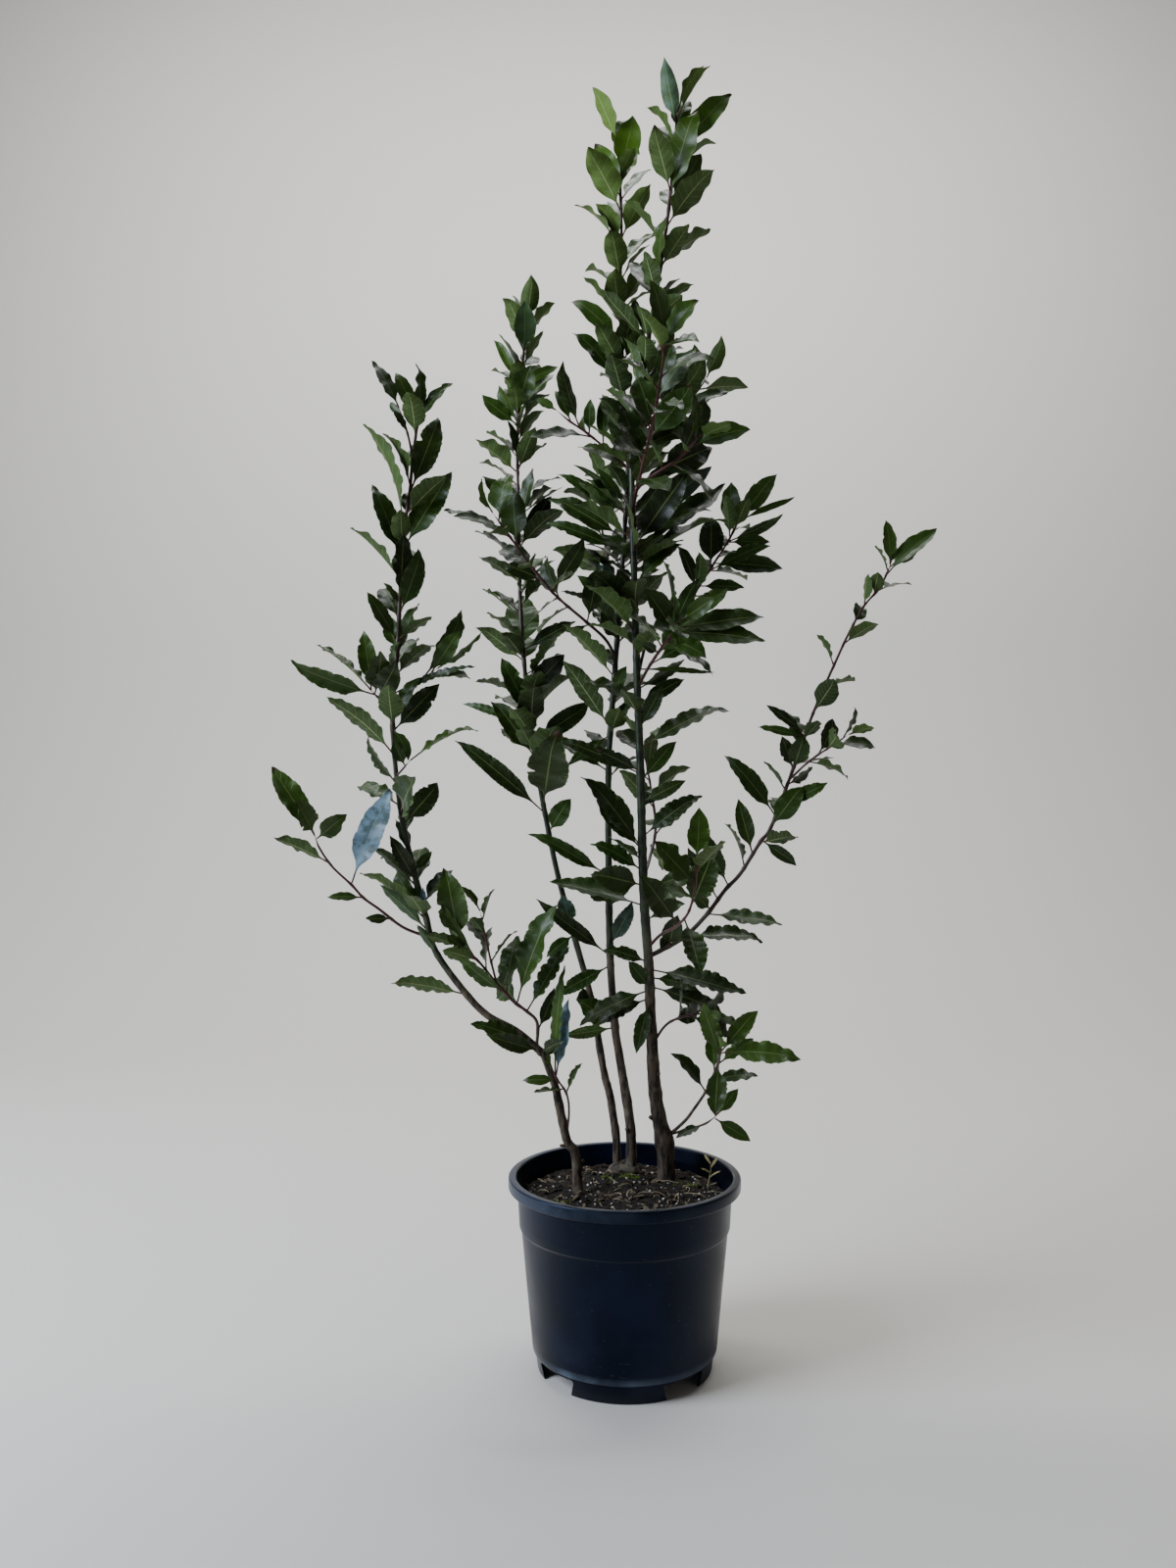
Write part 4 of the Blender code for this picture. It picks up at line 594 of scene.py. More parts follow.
def blade_shape(blade: Blade, pad: float, whole: bool = True) -> tuple[list[Vector], list[tuple[int, ...]]]:
    """Return a plain leaf's points and triangles, grown by a pad.

    Args:
        blade: the leaf.
        pad: how far it is grown on each side.
        whole: False leaves out its first ring, which lies in its own stem.

    Returns:
        The points and the triangles.
    """
    stations = blade_stations(blade.chord.length)[0 if whole else 1:]
    points = [point for share in stations for point in blade_ring(blade, share, pad)]
    triangles = [(0, 2, 3), (1, 3, 2)]
    if whole:
        root = len(points) + 1
        triangles = [(0, 2, root), (2, 1, root), (1, 3, root), (3, 0, root)]
    for row in range(len(stations) - 1):
        left, right, top, bottom = range(4 * row, 4 * row + 4)
        next_left, next_right, next_top, next_bottom = range(4 * row + 4, 4 * row + 8)
        triangles += [(left, next_top, top), (left, next_left, next_top),
                      (right, top, next_top), (right, next_top, next_right),
                      (left, bottom, next_bottom), (left, next_bottom, next_left),
                      (right, next_bottom, bottom), (right, next_right, next_bottom)]
    left, right, top, bottom = range(4 * len(stations) - 4, 4 * len(stations))
    tip = len(points)
    points.append(blade_frame(blade, 1.0)[0])
    points.append(blade.root - blade.chord.normalized() * ROOT_DEPTH)
    triangles += [(left, tip, top), (right, top, tip), (left, bottom, tip), (right, tip, bottom)]
    return points, triangles


class Obstacle:
    """A solid that leaves keep clear of, with its box for a quick first test."""

    def __init__(self, points: list[Vector], triangles: list[tuple[int, ...]]) -> None:
        """Build the solid's search tree and box."""
        self.tree = BVHTree.FromPolygons([tuple(point) for point in points], triangles)
        self.low = [min(point[axis] for point in points) for axis in range(3)]
        self.high = [max(point[axis] for point in points) for axis in range(3)]

    def meets(self, other: "Obstacle") -> bool:
        """Return whether this solid's surface crosses another's."""
        for axis in range(3):
            if self.low[axis] > other.high[axis] or other.low[axis] > self.high[axis]:
                return False
        return bool(self.tree.overlap(other.tree))

    @classmethod
    def of_bmesh(cls, shape: bmesh.types.BMesh) -> "Obstacle":
        """Return the obstacle of a bmesh, and free it."""
        shape.verts.index_update()
        made = cls([corner.co.copy() for corner in shape.verts],
                   [tuple(corner.index for corner in face.verts) for face in shape.faces])
        shape.free()
        return made

    @classmethod
    def of_tube(cls, points: list[Vector], radii: list[float]) -> "Obstacle":
        """Return the obstacle of a plain tube through points."""
        line = bpy.data.curves.new("plain_tube", "CURVE")
        line.dimensions = "3D"
        line.bevel_depth = 1.0
        line.bevel_resolution = 1
        line.use_fill_caps = True
        spline = line.splines.new("POLY")
        spline.points.add(len(points) - 1)
        for knot, point, radius in zip(spline.points, points, radii):
            knot.co = (*point, 1.0)
            knot.radius = radius
        drawn = linked("plain_tube", line)
        graph = bpy.context.evaluated_depsgraph_get()
        mesh = bpy.data.meshes.new_from_object(drawn.evaluated_get(graph))
        bpy.data.objects.remove(drawn, do_unlink=True)
        bpy.data.curves.remove(line)
        shape = bmesh.new()
        shape.from_mesh(mesh)
        bpy.data.meshes.remove(mesh)
        return cls.of_bmesh(welded(shape))

    @classmethod
    def of_drum(cls) -> "Obstacle":
        """Return the obstacle of the pot and its soil."""
        shape = bmesh.new()
        height = POT_HEIGHT + 2 * STEM_PAD
        radius = RIM_RADIUS + 2 * STEM_PAD
        bmesh.ops.create_cone(shape, cap_ends=True, segments=SOLID_STEPS, radius1=radius, radius2=radius,
                              depth=height, matrix=Matrix.Translation((0, 0, height / 2)))
        bmesh.ops.triangulate(shape, faces=shape.faces)
        return cls.of_bmesh(shape)


def upper_side(reach: Vector, up: Vector, roll: float) -> Vector:
    """Return the direction that a leaf's upper face looks in: towards the stem's tip, then rolled."""
    along = reach.normalized()
    facing = up - along * up.dot(along)
    if facing.length < LEAST_FACING:
        facing = along.orthogonal()
    return Matrix.Rotation(roll, 3, along) @ facing.normalized()


def across_part(facing: Vector, reach: Vector) -> Vector:
    """Return the direction nearest to a facing that is square to a leaf's reach."""
    along = reach.normalized()
    return (facing - along * facing.dot(along)).normalized()


def in_photo(spot: Vector) -> Vector:
    """Return where a point stands in the photograph, in its pixels."""
    scale = LENS_PIXELS / (spot.y - EYE.y)
    return MIDDLE + Vector((spot.x - EYE.x, EYE.z - spot.z)) * scale


def from_photo(place: Vector, depth: float) -> Vector:
    """Return the point at a depth that stands at a place in the photograph."""
    offset = (place - MIDDLE) * (depth - EYE.y) / LENS_PIXELS
    return Vector((EYE.x + offset.x, depth, EYE.z - offset.y))


def leaf_habit(draw: random.Random, width: float) -> dict[str, float]:
    """Return a leaf's arch, twist, fold and margin wave, drawn for its size."""
    return {
        "arch": draw.uniform(*ARCHES),
        "twist": draw.uniform(-TWIST, TWIST),
        "fold": math.radians(draw.uniform(*FOLDS_DEG)),
        "wave": WAVE_SHARE * width * draw.uniform(*WAVES),
        "phase": draw.uniform(0.0, math.tau),
    }


def swung(first: Blade, draw: random.Random) -> Iterator[Blade]:
    """Yield a placed leaf, then the same leaf rolled and swung ever further."""
    yield first
    for attempt in range(1, TRIES):
        roll = math.radians(draw.uniform(-ROLL_A_TRY_DEG, ROLL_A_TRY_DEG) * attempt)
        swing = Vector((draw.uniform(-1, 1), 2.0 * draw.uniform(-1, 1), draw.uniform(-1, 1)))
        chord = first.chord + swing * (SWING_A_TRY * attempt * first.chord.length)
        along = chord.normalized()
        upper = (first.upper - along * first.upper.dot(along)).normalized()
        upper = Matrix.Rotation(roll, 3, along) @ upper
        yield replace(first, chord=chord, upper=upper, arch=first.arch * (1.0 - attempt / TRIES))


def turned(stem: Stem, along: float, turn: float, pitch: float, length: float, roll: float,
           width: float, habit: dict[str, float]) -> Iterator[Blade]:
    """Yield a spiral leaf, then the same leaf at other turns about its stem."""
    up = stem.direction(along)
    across = up.orthogonal().normalized()
    for attempt in range(TRIES):
        angle = turn + attempt * TURN_A_TRY
        outward = Matrix.Rotation(angle, 3, up) @ across
        size = 1.0 - SHRINK_A_TRY * attempt
        reach = (up * math.cos(pitch) + outward * math.sin(pitch)) * length * size
        upper = upper_side(reach, up, roll)
        yield Blade(stem.point(along), reach, upper, width * size, **habit)


class Grower:
    """Places the leaves of all shoots, each clear of the stems and of the leaves before it."""

    def __init__(self, stems: dict[str, Stem], obstacles: dict[str, Obstacle]) -> None:
        """Start with bare stems."""
        self.stems = stems
        self.obstacles = obstacles
        self.leaves: list[Obstacle] = []
        self.blades: dict[str, list[Blade]] = {name: [] for name in stems}
        self.pad = LEAF_PAD

    def clear(self, name: str, blade: Blade) -> Obstacle | None:
        """Return a padded leaf's obstacle, or None where it meets a stem or another leaf."""
        whole = Obstacle(*blade_shape(blade, self.pad))
        beyond = Obstacle(*blade_shape(blade, self.pad, whole=False))
        for other, solid in self.obstacles.items():
            if (beyond if other == name else whole).meets(solid):
                return None
        if any(whole.meets(leaf) for leaf in self.leaves):
            return None
        return whole

    def grow(self, name: str, blades: Iterator[Blade]) -> None:
        """Keep the first of a leaf's possible positions that is clear."""
        for blade in blades:
            solid = self.clear(name, blade)
            if solid is not None:
                self.leaves.append(solid)
                self.blades[name].append(blade)
                return

    def named_leaves(self, shoot: Shoot, draw: random.Random) -> None:
        """Grow a shoot's own leaves, each rolled or swung a little where it would touch."""
        stem = self.stems[shoot.name]
        for leaf in starmap(Leaf, shoot.leaves):
            root = stem.point(leaf.at * MM)
            reach = Vector((leaf.x, leaf.y, leaf.z)) * MM
            upper = upper_side(reach, stem.direction(leaf.at * MM), math.radians(leaf.roll))
            habit = leaf_habit(draw, leaf.width * MM)
            blade = Blade(root, reach, upper, leaf.width * MM, **habit, painted_sheen=leaf.painted_sheen)
            self.grow(shoot.name, swung(blade, draw))

    def spiral_leaves(self, name: str, steps: Iterator[tuple[float, float, float]], pitch_spread_deg: float,
                      broadness: tuple[float, float], draw: random.Random) -> None:
        """Grow leaves in a spiral up a stem.

        Args:
            name: the stem's name.
            steps: each leaf's distance up the stem, its plain length and its plain pitch in degrees.
            pitch_spread_deg: how far a pitch strays from the plain one.
            broadness: the least and the greatest width as a share of the length.
            draw: the source of the leaves' differences.
        """
        first_turn = draw.uniform(0.0, math.tau)
        for index, (along, length, pitch_deg) in enumerate(steps):
            length *= draw.uniform(*SIZES)
            pitch_deg += draw.uniform(-pitch_spread_deg, pitch_spread_deg)
            turn = first_turn + index * GOLDEN_ANGLE + draw.uniform(-TURN_SPREAD, TURN_SPREAD)
            roll = draw.uniform(-ROLL_SPREAD, ROLL_SPREAD)
            width = length * draw.uniform(*broadness)
            blades = turned(self.stems[name], along, turn, math.radians(pitch_deg), length, roll, width,
                            leaf_habit(draw, width))
            self.grow(name, blades)

    def seen_leaves(self, name: str, leaves: tuple[tuple, ...], draw: random.Random) -> None:
        """Grow the leaves of a shoot that were measured on the photograph."""
        stem = self.stems[name]
        marks = [step * MM for step in range(int(stem.length / MM) + 1)]
        for leaf in starmap(SeenLeaf, leaves):
            seen_root = Vector((leaf.root_x, leaf.root_y))
            mark = min(marks, key=lambda mark: (in_photo(stem.point(mark)) - seen_root).length)
            depth = stem.point(mark).y + leaf.back * MM
            tip = from_photo(Vector((leaf.tip_x, leaf.tip_y)), depth)
            width = leaf.width * (depth - EYE.y) / LENS_PIXELS
            shown = Vector(UNDER_SHOWN if leaf.under else UPPER_SHOWN)
            habit = leaf_habit(draw, width)
            roots = [stem.point(min(max(mark + slide * MM, 0.0), stem.length)) for slide in ROOT_SLIDES]
            blades = [Blade(root, tip - root, across_part(shown, tip - root), width, **habit,
                            painted_sheen=leaf.painted_sheen) for root in roots]
            self.grow(name, chain.from_iterable(islice(swung(blade, draw), SEEN_TRIES) for blade in blades))


def shoot_steps(stem: Stem) -> Iterator[tuple[float, float, float]]:
    """Yield a shoot's spiral leaves, closer and steeper towards its tip."""
    shoot = stem.shoot
    for index in range(shoot.count):
        share = index / max(shoot.count - 1, 1)
        along = stem.length * (1.0 - (1.0 - shoot.bare) * (1.0 - share) ** TIP_CROWDING)
        yield along, MM * mix(shoot.lengths, share), mix(shoot.pitch, share ** 2)


def tuft_steps(tuft: Tuft, draw: random.Random) -> Iterator[tuple[float, float, float]]:
    """Yield a tuft's spiral leaves up its stretch of the stem."""
    for index in range(tuft.count):
        along = MM * mix((tuft.low, tuft.high), (index + draw.random()) / tuft.count)
        yield along, MM * tuft.length, tuft.pitch_deg


def grow_solid_leaves() -> Grower:
    """Grow every leaf by the rule of the solids.

    Returns:
        The grower with its stems and blades.
    """
    stems = {shoot.name: Stem(shoot) for shoot in SHOOTS}
    lines = {}
    for trunk, main in zip(TRUNKS, MAIN_STEMS):
        lines[trunk.name] = stems[trunk.name].trunk_line(stems[main.name].direction(0.0))
        lines[main.name] = stems[main.name].solid_line(True)
    for shoot in TWIGS + SPRAYS:
        lines[shoot.name] = stems[shoot.name].solid_line(False)
    obstacles = {name: Obstacle.of_tube(points, [radius + STEM_PAD for radius in radii])
                 for name, (points, radii) in lines.items()}
    obstacles["pot"] = Obstacle.of_drum()
    grower = Grower(stems, obstacles)
    leafy = MAIN_STEMS + TWIGS + SPRAYS
    for index, shoot in enumerate(leafy):
        grower.named_leaves(shoot, random.Random(MAIN_SEED + index))
    for index, shoot in enumerate(leafy):
        grower.spiral_leaves(shoot.name, shoot_steps(grower.stems[shoot.name]), PITCH_SPREAD_DEG, BROADNESS,
                             random.Random(SPIRAL_SEED + index))
    LOG.info("leaves of the solids: %d", sum(map(len, grower.blades.values())))
    return grower


def grow_plant() -> Grower:
    """Grow every leaf: those of the solids, those seen or tufted between them, and the seedling's.

    Returns:
        The grower with its stems and blades.
    """
    grower = grow_solid_leaves()
    grower.pad = TUFT_PAD
    draw = random.Random(TUFT_SEED)
    for name, leaves in SEEN_LEAVES.items():
        grower.seen_leaves(name, leaves, draw)
    for name, tufts in MORE_TUFTS.items():
        for tuft in starmap(Tuft, tufts):
            grower.spiral_leaves(name, tuft_steps(tuft, draw), TUFT_PITCH_SPREAD_DEG, TUFT_BROADNESS, draw)
    LOG.info("leaves with the tufts: %d", sum(map(len, grower.blades.values())))
    grower.obstacles = {}
    grower.leaves = []
    grower.named_leaves(SEEDLING, random.Random(SEEDLING_SEED))
    return grower


# The setting that a kind's mode stands for, and the inputs and output of a mix, which lie apart
MODE_SETTINGS = {"Math": "operation", "MapRange": "interpolation_type", "Mix": "data_type",
                 "TexVoronoi": "feature"}
MIX_SOCKETS = {"Mix.RGBA": ((0, 6, 7), 2), "Mix.FLOAT": ((0, 2, 3), 0)}


def to_linear(code: str) -> tuple[float, float, float, float]:
    """Turn an sRGB hex colour into linear light.

    Args:
        code: the colour, such as "#2f4a26".

    Returns:
        Red, green, blue and an alpha of 1.
    """
    shares = [int(code[start:start + 2], 16) / 255.0 for start in (1, 3, 5)]
    red, green, blue = [c / 12.92 if c <= 0.04045 else ((c + 0.055) / 1.055) ** 2.4 for c in shares]
    return red, green, blue, 1.0


def add_node(tree: bpy.types.NodeTree, kind: str, *inputs: object, output: int | str = 0,
             **named: object) -> bpy.types.NodeSocket:
    """Add a node with its settings and links.

    Args:
        tree: the material's node tree.
        kind: the node's type without its prefix, and its mode after a dot, such as "Math.MULTIPLY".
        inputs: its first inputs, each a number, a hex colour, or the socket that feeds it.
        output: the output to return, by name or number.
        named: its settings and its other inputs by name.

    Returns:
        The output's socket.
    """
    plain_kind, _, mode = kind.partition(".")
    node = tree.nodes.new("ShaderNode" + plain_kind)
    if mode:
        setattr(node, MODE_SETTINGS[plain_kind], mode)
    numbers, output = MIX_SOCKETS.get(kind, (range(len(inputs)), output))
    for name, value in chain(zip(numbers, inputs), named.items()):
        if isinstance(name, str) and hasattr(node, name):
            setattr(node, name, value)
        elif isinstance(value, bpy.types.NodeSocket):
            tree.links.new(value, node.inputs[name])
        else:
            node.inputs[name].default_value = to_linear(value) if isinstance(value, str) else value
    return node.outputs[output]


def new_material(name: str, settings: dict) -> tuple[bpy.types.Material, Callable, Callable]:
    """Start a Principled material.

    Args:
        name: the material's name.
        settings: values for the shader's own sockets.

    Returns:
        The material, add_node for its node tree, and a function that feeds a socket to an input
        of its shader.
    """
    made = bpy.data.materials.new(name)
    made.use_nodes = True
    shader = made.node_tree.nodes["Principled BSDF"]
    for socket, value in settings.items():
        shader.inputs[socket].default_value = to_linear(value) if isinstance(value, str) else value

    def feed(socket: str, source: bpy.types.NodeSocket) -> None:
        """Link a socket to the shader's input."""
        made.node_tree.links.new(source, shader.inputs[socket])

    return made, partial(add_node, made.node_tree), feed


@dataclass(frozen=True)
class LeafFinish:
    """Living laurel leaf: a waxy cutin skin over chlorophyll, glossy above and matte below.

    The wax gives a cool sheen that breaks up over the veins, and some leaves also take a silver-blue
    painted sheen, a reflection painted into their colour in streaks. The midrib and the thin cartilage
    margin are paler, and the stalk is flushed with red.
    """

    name: str
    deep: str
    fresh: str
    # Lighter yellow-green of young leaves, also a painted back-light glowing through the top leaves
    young: str
    rib: str
    rib_share: float
    vein_share: float
    margin: str
    stalk: str
    scorch: str = "#3b2816"
    # Silver-blue of a painted reflection, streaked onto the leaves that carry a share of painted sheen
    painted_sheen: str = "#7f9fb4"
    roughness: float = 0.32
    gloss: float = 0.30
    coat: float = 0.08
    rib_pairs: float = 10.0
    vein_sweep: float = 1.1
    net_cell_mm: float = 1.7
    mottle_mm: float = 16.0
    streak_mm: float = 9.0
    relief_mm: float = 0.28

    def material(self) -> bpy.types.Material:
        """Build the leaf's material."""
        made, add, feed = new_material(self.name, {
            "IOR": 1.42, "Metallic": 0.0, "Specular IOR Level": self.gloss, "Coat Weight": self.coat,
            "Coat Roughness": 0.20, "Coat IOR": 1.45})
        place = add("UVMap", uv_map="blade")
        over = add("SeparateXYZ", place, output="X")
        along = add("SeparateXYZ", place, output="Y")
        traits = add("Attribute", attribute_name="traits", output="Color")
        youth_and_backlight = add("SeparateColor", traits, output="Red")
        shade = add("SeparateColor", traits, output="Green")
        scorched = add("SeparateColor", traits, output="Blue")
        side = add("Math.MULTIPLY_ADD", over, 2.0, -1.0)
        across = add("Math.ABSOLUTE", side)
        solid = add("TexCoord", output="Object")

        mottle = add("TexNoise", Scale=1000.0 / self.mottle_mm, Detail=3.0, Vector=solid)
        patch = add("Math.MULTIPLY_ADD", mottle, 0.6, add("Math.MULTIPLY", shade, 0.8))
        streaked = add("TexNoise", Scale=1000.0 / self.streak_mm, Detail=4.0, Vector=solid)
        # Painted sheen: streaks of silver-blue reflection painted into the colour, as much as each leaf's
        # share
        painted_sheen_patches = add("Math.MULTIPLY", add("MapRange.SMOOTHSTEP", streaked, 0.34, 0.62, 0.35),
                add("Attribute", attribute_name="painted_sheen", output="Fac"))
        share = add("MapRange.SMOOTHSTEP", patch, 0.35, 1.10)
        colour = add("Mix.RGBA", share, self.deep, self.fresh)
        # Young leaves are lighter: real fresh growth and painted back-light
        colour = add("Mix.RGBA", youth_and_backlight, colour, self.young)

        taper = add("Math.MULTIPLY_ADD", along, 0.022, across)
        rib = add("MapRange.SMOOTHSTEP", taper, 0.030, 0.066, 1.0, 0.0)
        slant = add("Math.MULTIPLY", across, -self.vein_sweep)
        sweep = add("Math.MULTIPLY_ADD", along, self.rib_pairs, slant)
        beat = add("Math.PINGPONG", sweep, 0.5)
        vein = add("MapRange.SMOOTHSTEP", beat, 0.0, 0.06, 1.0, 0.0)
        cells = add("TexVoronoi.DISTANCE_TO_EDGE", Scale=1000.0 / self.net_cell_mm, Vector=solid,
                output="Distance")
        net = add("MapRange.SMOOTHSTEP", cells, 0.02, 0.14, 1.0, 0.0)
        edge = add("MapRange.SMOOTHSTEP", across, 0.93, 0.99)
        tip = add("MapRange.SMOOTHSTEP", add("Math.MULTIPLY_ADD", mottle, 0.10, along), 0.93, 1.02)
        foot = add("MapRange.SMOOTHSTEP", along, 0.09, 0.19, 0.85, 0.0)
        # The last mix paints the silver-blue reflection; the others are the leaf's own paler veins, midrib
        # and margin
        for part, weight, paint in ((net, 0.07, self.rib), (vein, self.vein_share, self.rib), (rib,
                self.rib_share, self.rib), (edge, 0.45, self.margin), (painted_sheen_patches, 0.8, self.painted_sheen)):
            strength = add("Math.MULTIPLY", part, weight)
            colour = add("Mix.RGBA", strength, colour, paint)
        burnt = add("Math.MULTIPLY", scorched, tip)
        colour = add("Mix.RGBA", burnt, colour, self.scorch)
        feed("Base Color", add("Mix.RGBA", foot, colour, self.stalk))

        wax = add("MapRange.SMOOTHSTEP", mottle, 0.3, 0.75, self.roughness - 0.06, self.roughness + 0.12)
        feed("Roughness", add("Math.MULTIPLY_ADD", rib, 0.15, wax))
        fine = add("Math.MULTIPLY_ADD", net, -0.25, add("Math.MULTIPLY", vein, -0.8))
        height = add("Math.MULTIPLY_ADD", mottle, 0.9, fine)
        feed("Normal", add("Bump", Strength=0.55, Distance=self.relief_mm * MM, Height=height))
        return made


@dataclass(frozen=True)
class BarkFinish:
    """Laurel bark: grey-brown cork with fissures low down, smooth olive skin above, red on young twigs."""

    name: str = "laurel_bark_weathered"
    cork: str = "#564a3d"
    fissure: str = "#1c1712"
    lichen: str = "#706a5a"
    skin: str = "#2c3a22"
    skin_dark: str = "#121a10"
    flush: str = "#451b1f"
    fissure_mm: float = 5.0
    patch_mm: float = 18.0
    lenticel_mm: float = 4.5
    relief_mm: float = 0.9

    def material(self) -> bpy.types.Material:
        """Build the bark's material."""
        made, add, feed = new_material(self.name, {"IOR": 1.45, "Metallic": 0.0})
        traits = add("Attribute", attribute_name="traits", output="Color")
        age = add("SeparateColor", traits, output="Red")
        reddened = add("SeparateColor", traits, output="Green")
        solid = add("TexCoord", output="Object")
        stretched = add("Mapping", Scale=(1.0, 1.0, 0.22), Vector=solid)
        cracks = add("TexNoise", Scale=1000.0 / self.fissure_mm, Detail=6.0, Roughness=0.62,
                Vector=stretched)
        patches = add("TexNoise", Scale=1000.0 / self.patch_mm, Detail=4.0, Vector=solid)
        dots = add("TexVoronoi", Scale=1000.0 / self.lenticel_mm, Vector=solid, output="Distance")
        lenticels = add("MapRange.SMOOTHSTEP", dots, 0.10, 0.20, 0.3, 0.0)
        open_bark = add("MapRange.SMOOTHSTEP", cracks, 0.38, 0.60)
        grey = add("MapRange.SMOOTHSTEP", patches, 0.52, 0.72, 0.0, 0.6)
        light = add("MapRange.SMOOTHSTEP", patches, 0.35, 0.65)
        cork = add("Mix.RGBA", open_bark, self.fissure, self.cork)
        cork = add("Mix.RGBA", grey, cork, self.lichen)
        skin = add("Mix.RGBA", light, self.skin_dark, self.skin)
        skin = add("Mix.RGBA", lenticels, skin, self.cork)
        skin = add("Mix.RGBA", reddened, skin, self.flush)
        frayed = add("Math.MULTIPLY_ADD", cracks, 0.8, age)
        woody = add("MapRange.SMOOTHSTEP", frayed, 0.70, 1.12)
        feed("Base Color", add("Mix.RGBA", woody, skin, cork))
        feed("Roughness", add("MapRange", woody, 0.0, 1.0, 0.38, 0.84))
        rough = add("Math.MULTIPLY", cracks, woody)
        height = add("Math.MULTIPLY_ADD", lenticels, 0.5, rough)
        feed("Normal", add("Bump", Strength=0.8, Distance=self.relief_mm * MM, Height=height))
        return made


@dataclass(frozen=True)
class PlasticFinish:
    """Injection-moulded recycled polypropylene, blue-black: satin, finely scratched and a little dusty.

    Edges are paler, partly from rubbed wear and partly from a painted highlight that is strongest on the
    left side, where the light falls; dust and lime lie as a faint film low on the wall.
    """

    name: str = "polypropylene_black_moulded"
    body: str = "#02040b"
    faded: str = "#070e22"
    # Pale blue-grey of scratches and rubbed edges; on the edges it is also a painted highlight
    wear_and_highlight: str = "#6d7b8c"
    dust: str = "#2f3134"
    sheen: str = "#9db4e6"
    cloud_mm: float = 70.0
    scratch_mm: float = 2.2
    grain_mm: float = 0.8
    relief_mm: float = 0.2

    def material(self) -> bpy.types.Material:
        """Build the pot's material."""
        made, add, feed = new_material(self.name, {"IOR": 1.49, "Metallic": 0.0, "Specular IOR Level": 0.30,
                "Specular Tint": self.sheen})
        solid = add("TexCoord", output="Object")
        height = add("SeparateXYZ", solid, output="Z")
        cloud = add("TexNoise", Scale=1000.0 / self.cloud_mm, Detail=5.0, Vector=solid)
        grain = add("TexNoise", Scale=1000.0 / self.grain_mm, Detail=2.0, Vector=solid)
        tilted = add("Mapping", Rotation=(0.5, 0.9, 0.3), Scale=(0.06, 1.0, 1.0), Vector=solid)
        lines = add("TexNoise", Scale=1000.0 / self.scratch_mm, Detail=3.0, Vector=tilted)
        scratch = add("MapRange.SMOOTHSTEP", lines, 0.69, 0.76)
        low = add("MapRange.SMOOTHSTEP", height, 0.0, 0.08, 0.30, 0.0)
        worn = add("MapRange.SMOOTHSTEP", cloud, 0.40, 0.70)
        film = add("Math.MULTIPLY", low, worn)
        # Pale edge band of the rim and the wall's foot: partly rubbed wear, partly a painted highlight, made
        # stronger on the left side where the light falls
        edges = add("Attribute", attribute_name="wear_and_highlight", output="Fac")
        painted_highlight_left = add("MapRange.SMOOTHSTEP", add("SeparateXYZ", solid, output="X"), -0.08, 0.05, 1.0, 0.3)
        broken = add("MapRange.SMOOTHSTEP", cloud, 0.36, 0.60, 0.15, 1.0)
        edge_wear_and_highlight = add("Math.MULTIPLY", edges, add("Math.MULTIPLY", broken, painted_highlight_left))
        fine = add("Math.MULTIPLY", scratch, 0.25)
        colour = add("Mix.RGBA", worn, self.body, self.faded)
        for share, paint in ((film, self.dust), (fine, self.wear_and_highlight), (edge_wear_and_highlight, self.wear_and_highlight)):
            colour = add("Mix.RGBA", share, colour, paint)
        feed("Base Color", colour)
        dull = add("MapRange.SMOOTHSTEP", cloud, 0.3, 0.7, 0.27, 0.40)
        dull = add("Math.MULTIPLY_ADD", scratch, 0.2, dull)
        feed("Roughness", add("Math.MULTIPLY_ADD", film, 0.8, dull))
        relief = add("Math.MULTIPLY_ADD", grain, 0.25, add("Math.MULTIPLY", scratch, -1.0))
        feed("Normal", add("Bump", Strength=0.25, Distance=self.relief_mm * MM, Height=relief))
        return made


@dataclass(frozen=True)
class CrumbFinish:
    """A rough, matte grain or crumb: potting mix, bark chip, perlite, straw, moss or dry stalk."""

    name: str
    dark: str
    light: str
    speck_mm: float
    roughness: float = 0.9
    relief_mm: float = 0.6

    def material(self) -> bpy.types.Material:
        """Build the crumb's material."""
        made, add, feed = new_material(self.name, {"Roughness": self.roughness, "Metallic": 0.0, "IOR":
                1.4})
        solid = add("TexCoord", output="Object")
        specks = add("TexNoise", Scale=1000.0 / self.speck_mm, Detail=6.0, Roughness=0.7, Vector=solid)
        broad = add("TexNoise", Scale=130.0 / self.speck_mm, Detail=3.0, Vector=solid)
        both = add("Mix.FLOAT", 0.35, specks, broad)
        share = add("MapRange.SMOOTHSTEP", both, 0.36, 0.64)
        feed("Base Color", add("Mix.RGBA", share, self.dark, self.light))
        feed("Normal", add("Bump", Strength=0.9, Distance=self.relief_mm * MM, Height=specks))
        return made


def wrapped(shape: bmesh.types.BMesh, around: int, rows: int,
            place: Callable[[float, float], Vector]) -> list[bmesh.types.BMVert]:
    """Wrap a grid into a closed skin.

    Args:
        shape: the bmesh that takes the skin.
        around: its faces round the form.
        rows: its faces along the form.
        place: gives a point for the shares round and along, each from 0 to 1.

    Returns:
        The grid's corners before they are welded, each now at its place.
    """
    made = bmesh.ops.create_grid(shape, x_segments=around, y_segments=rows, size=0.5)["verts"]
    for corner in made:
        corner.co = place(corner.co.x + 0.5, corner.co.y + 0.5)
    return made


def edges_of(corners: list[bmesh.types.BMVert]) -> list[bmesh.types.BMEdge]:
    """Return the edges that meet at some corners, each once and in the same order each run."""
    return list(dict.fromkeys(edge for corner in corners for edge in corner.link_edges))


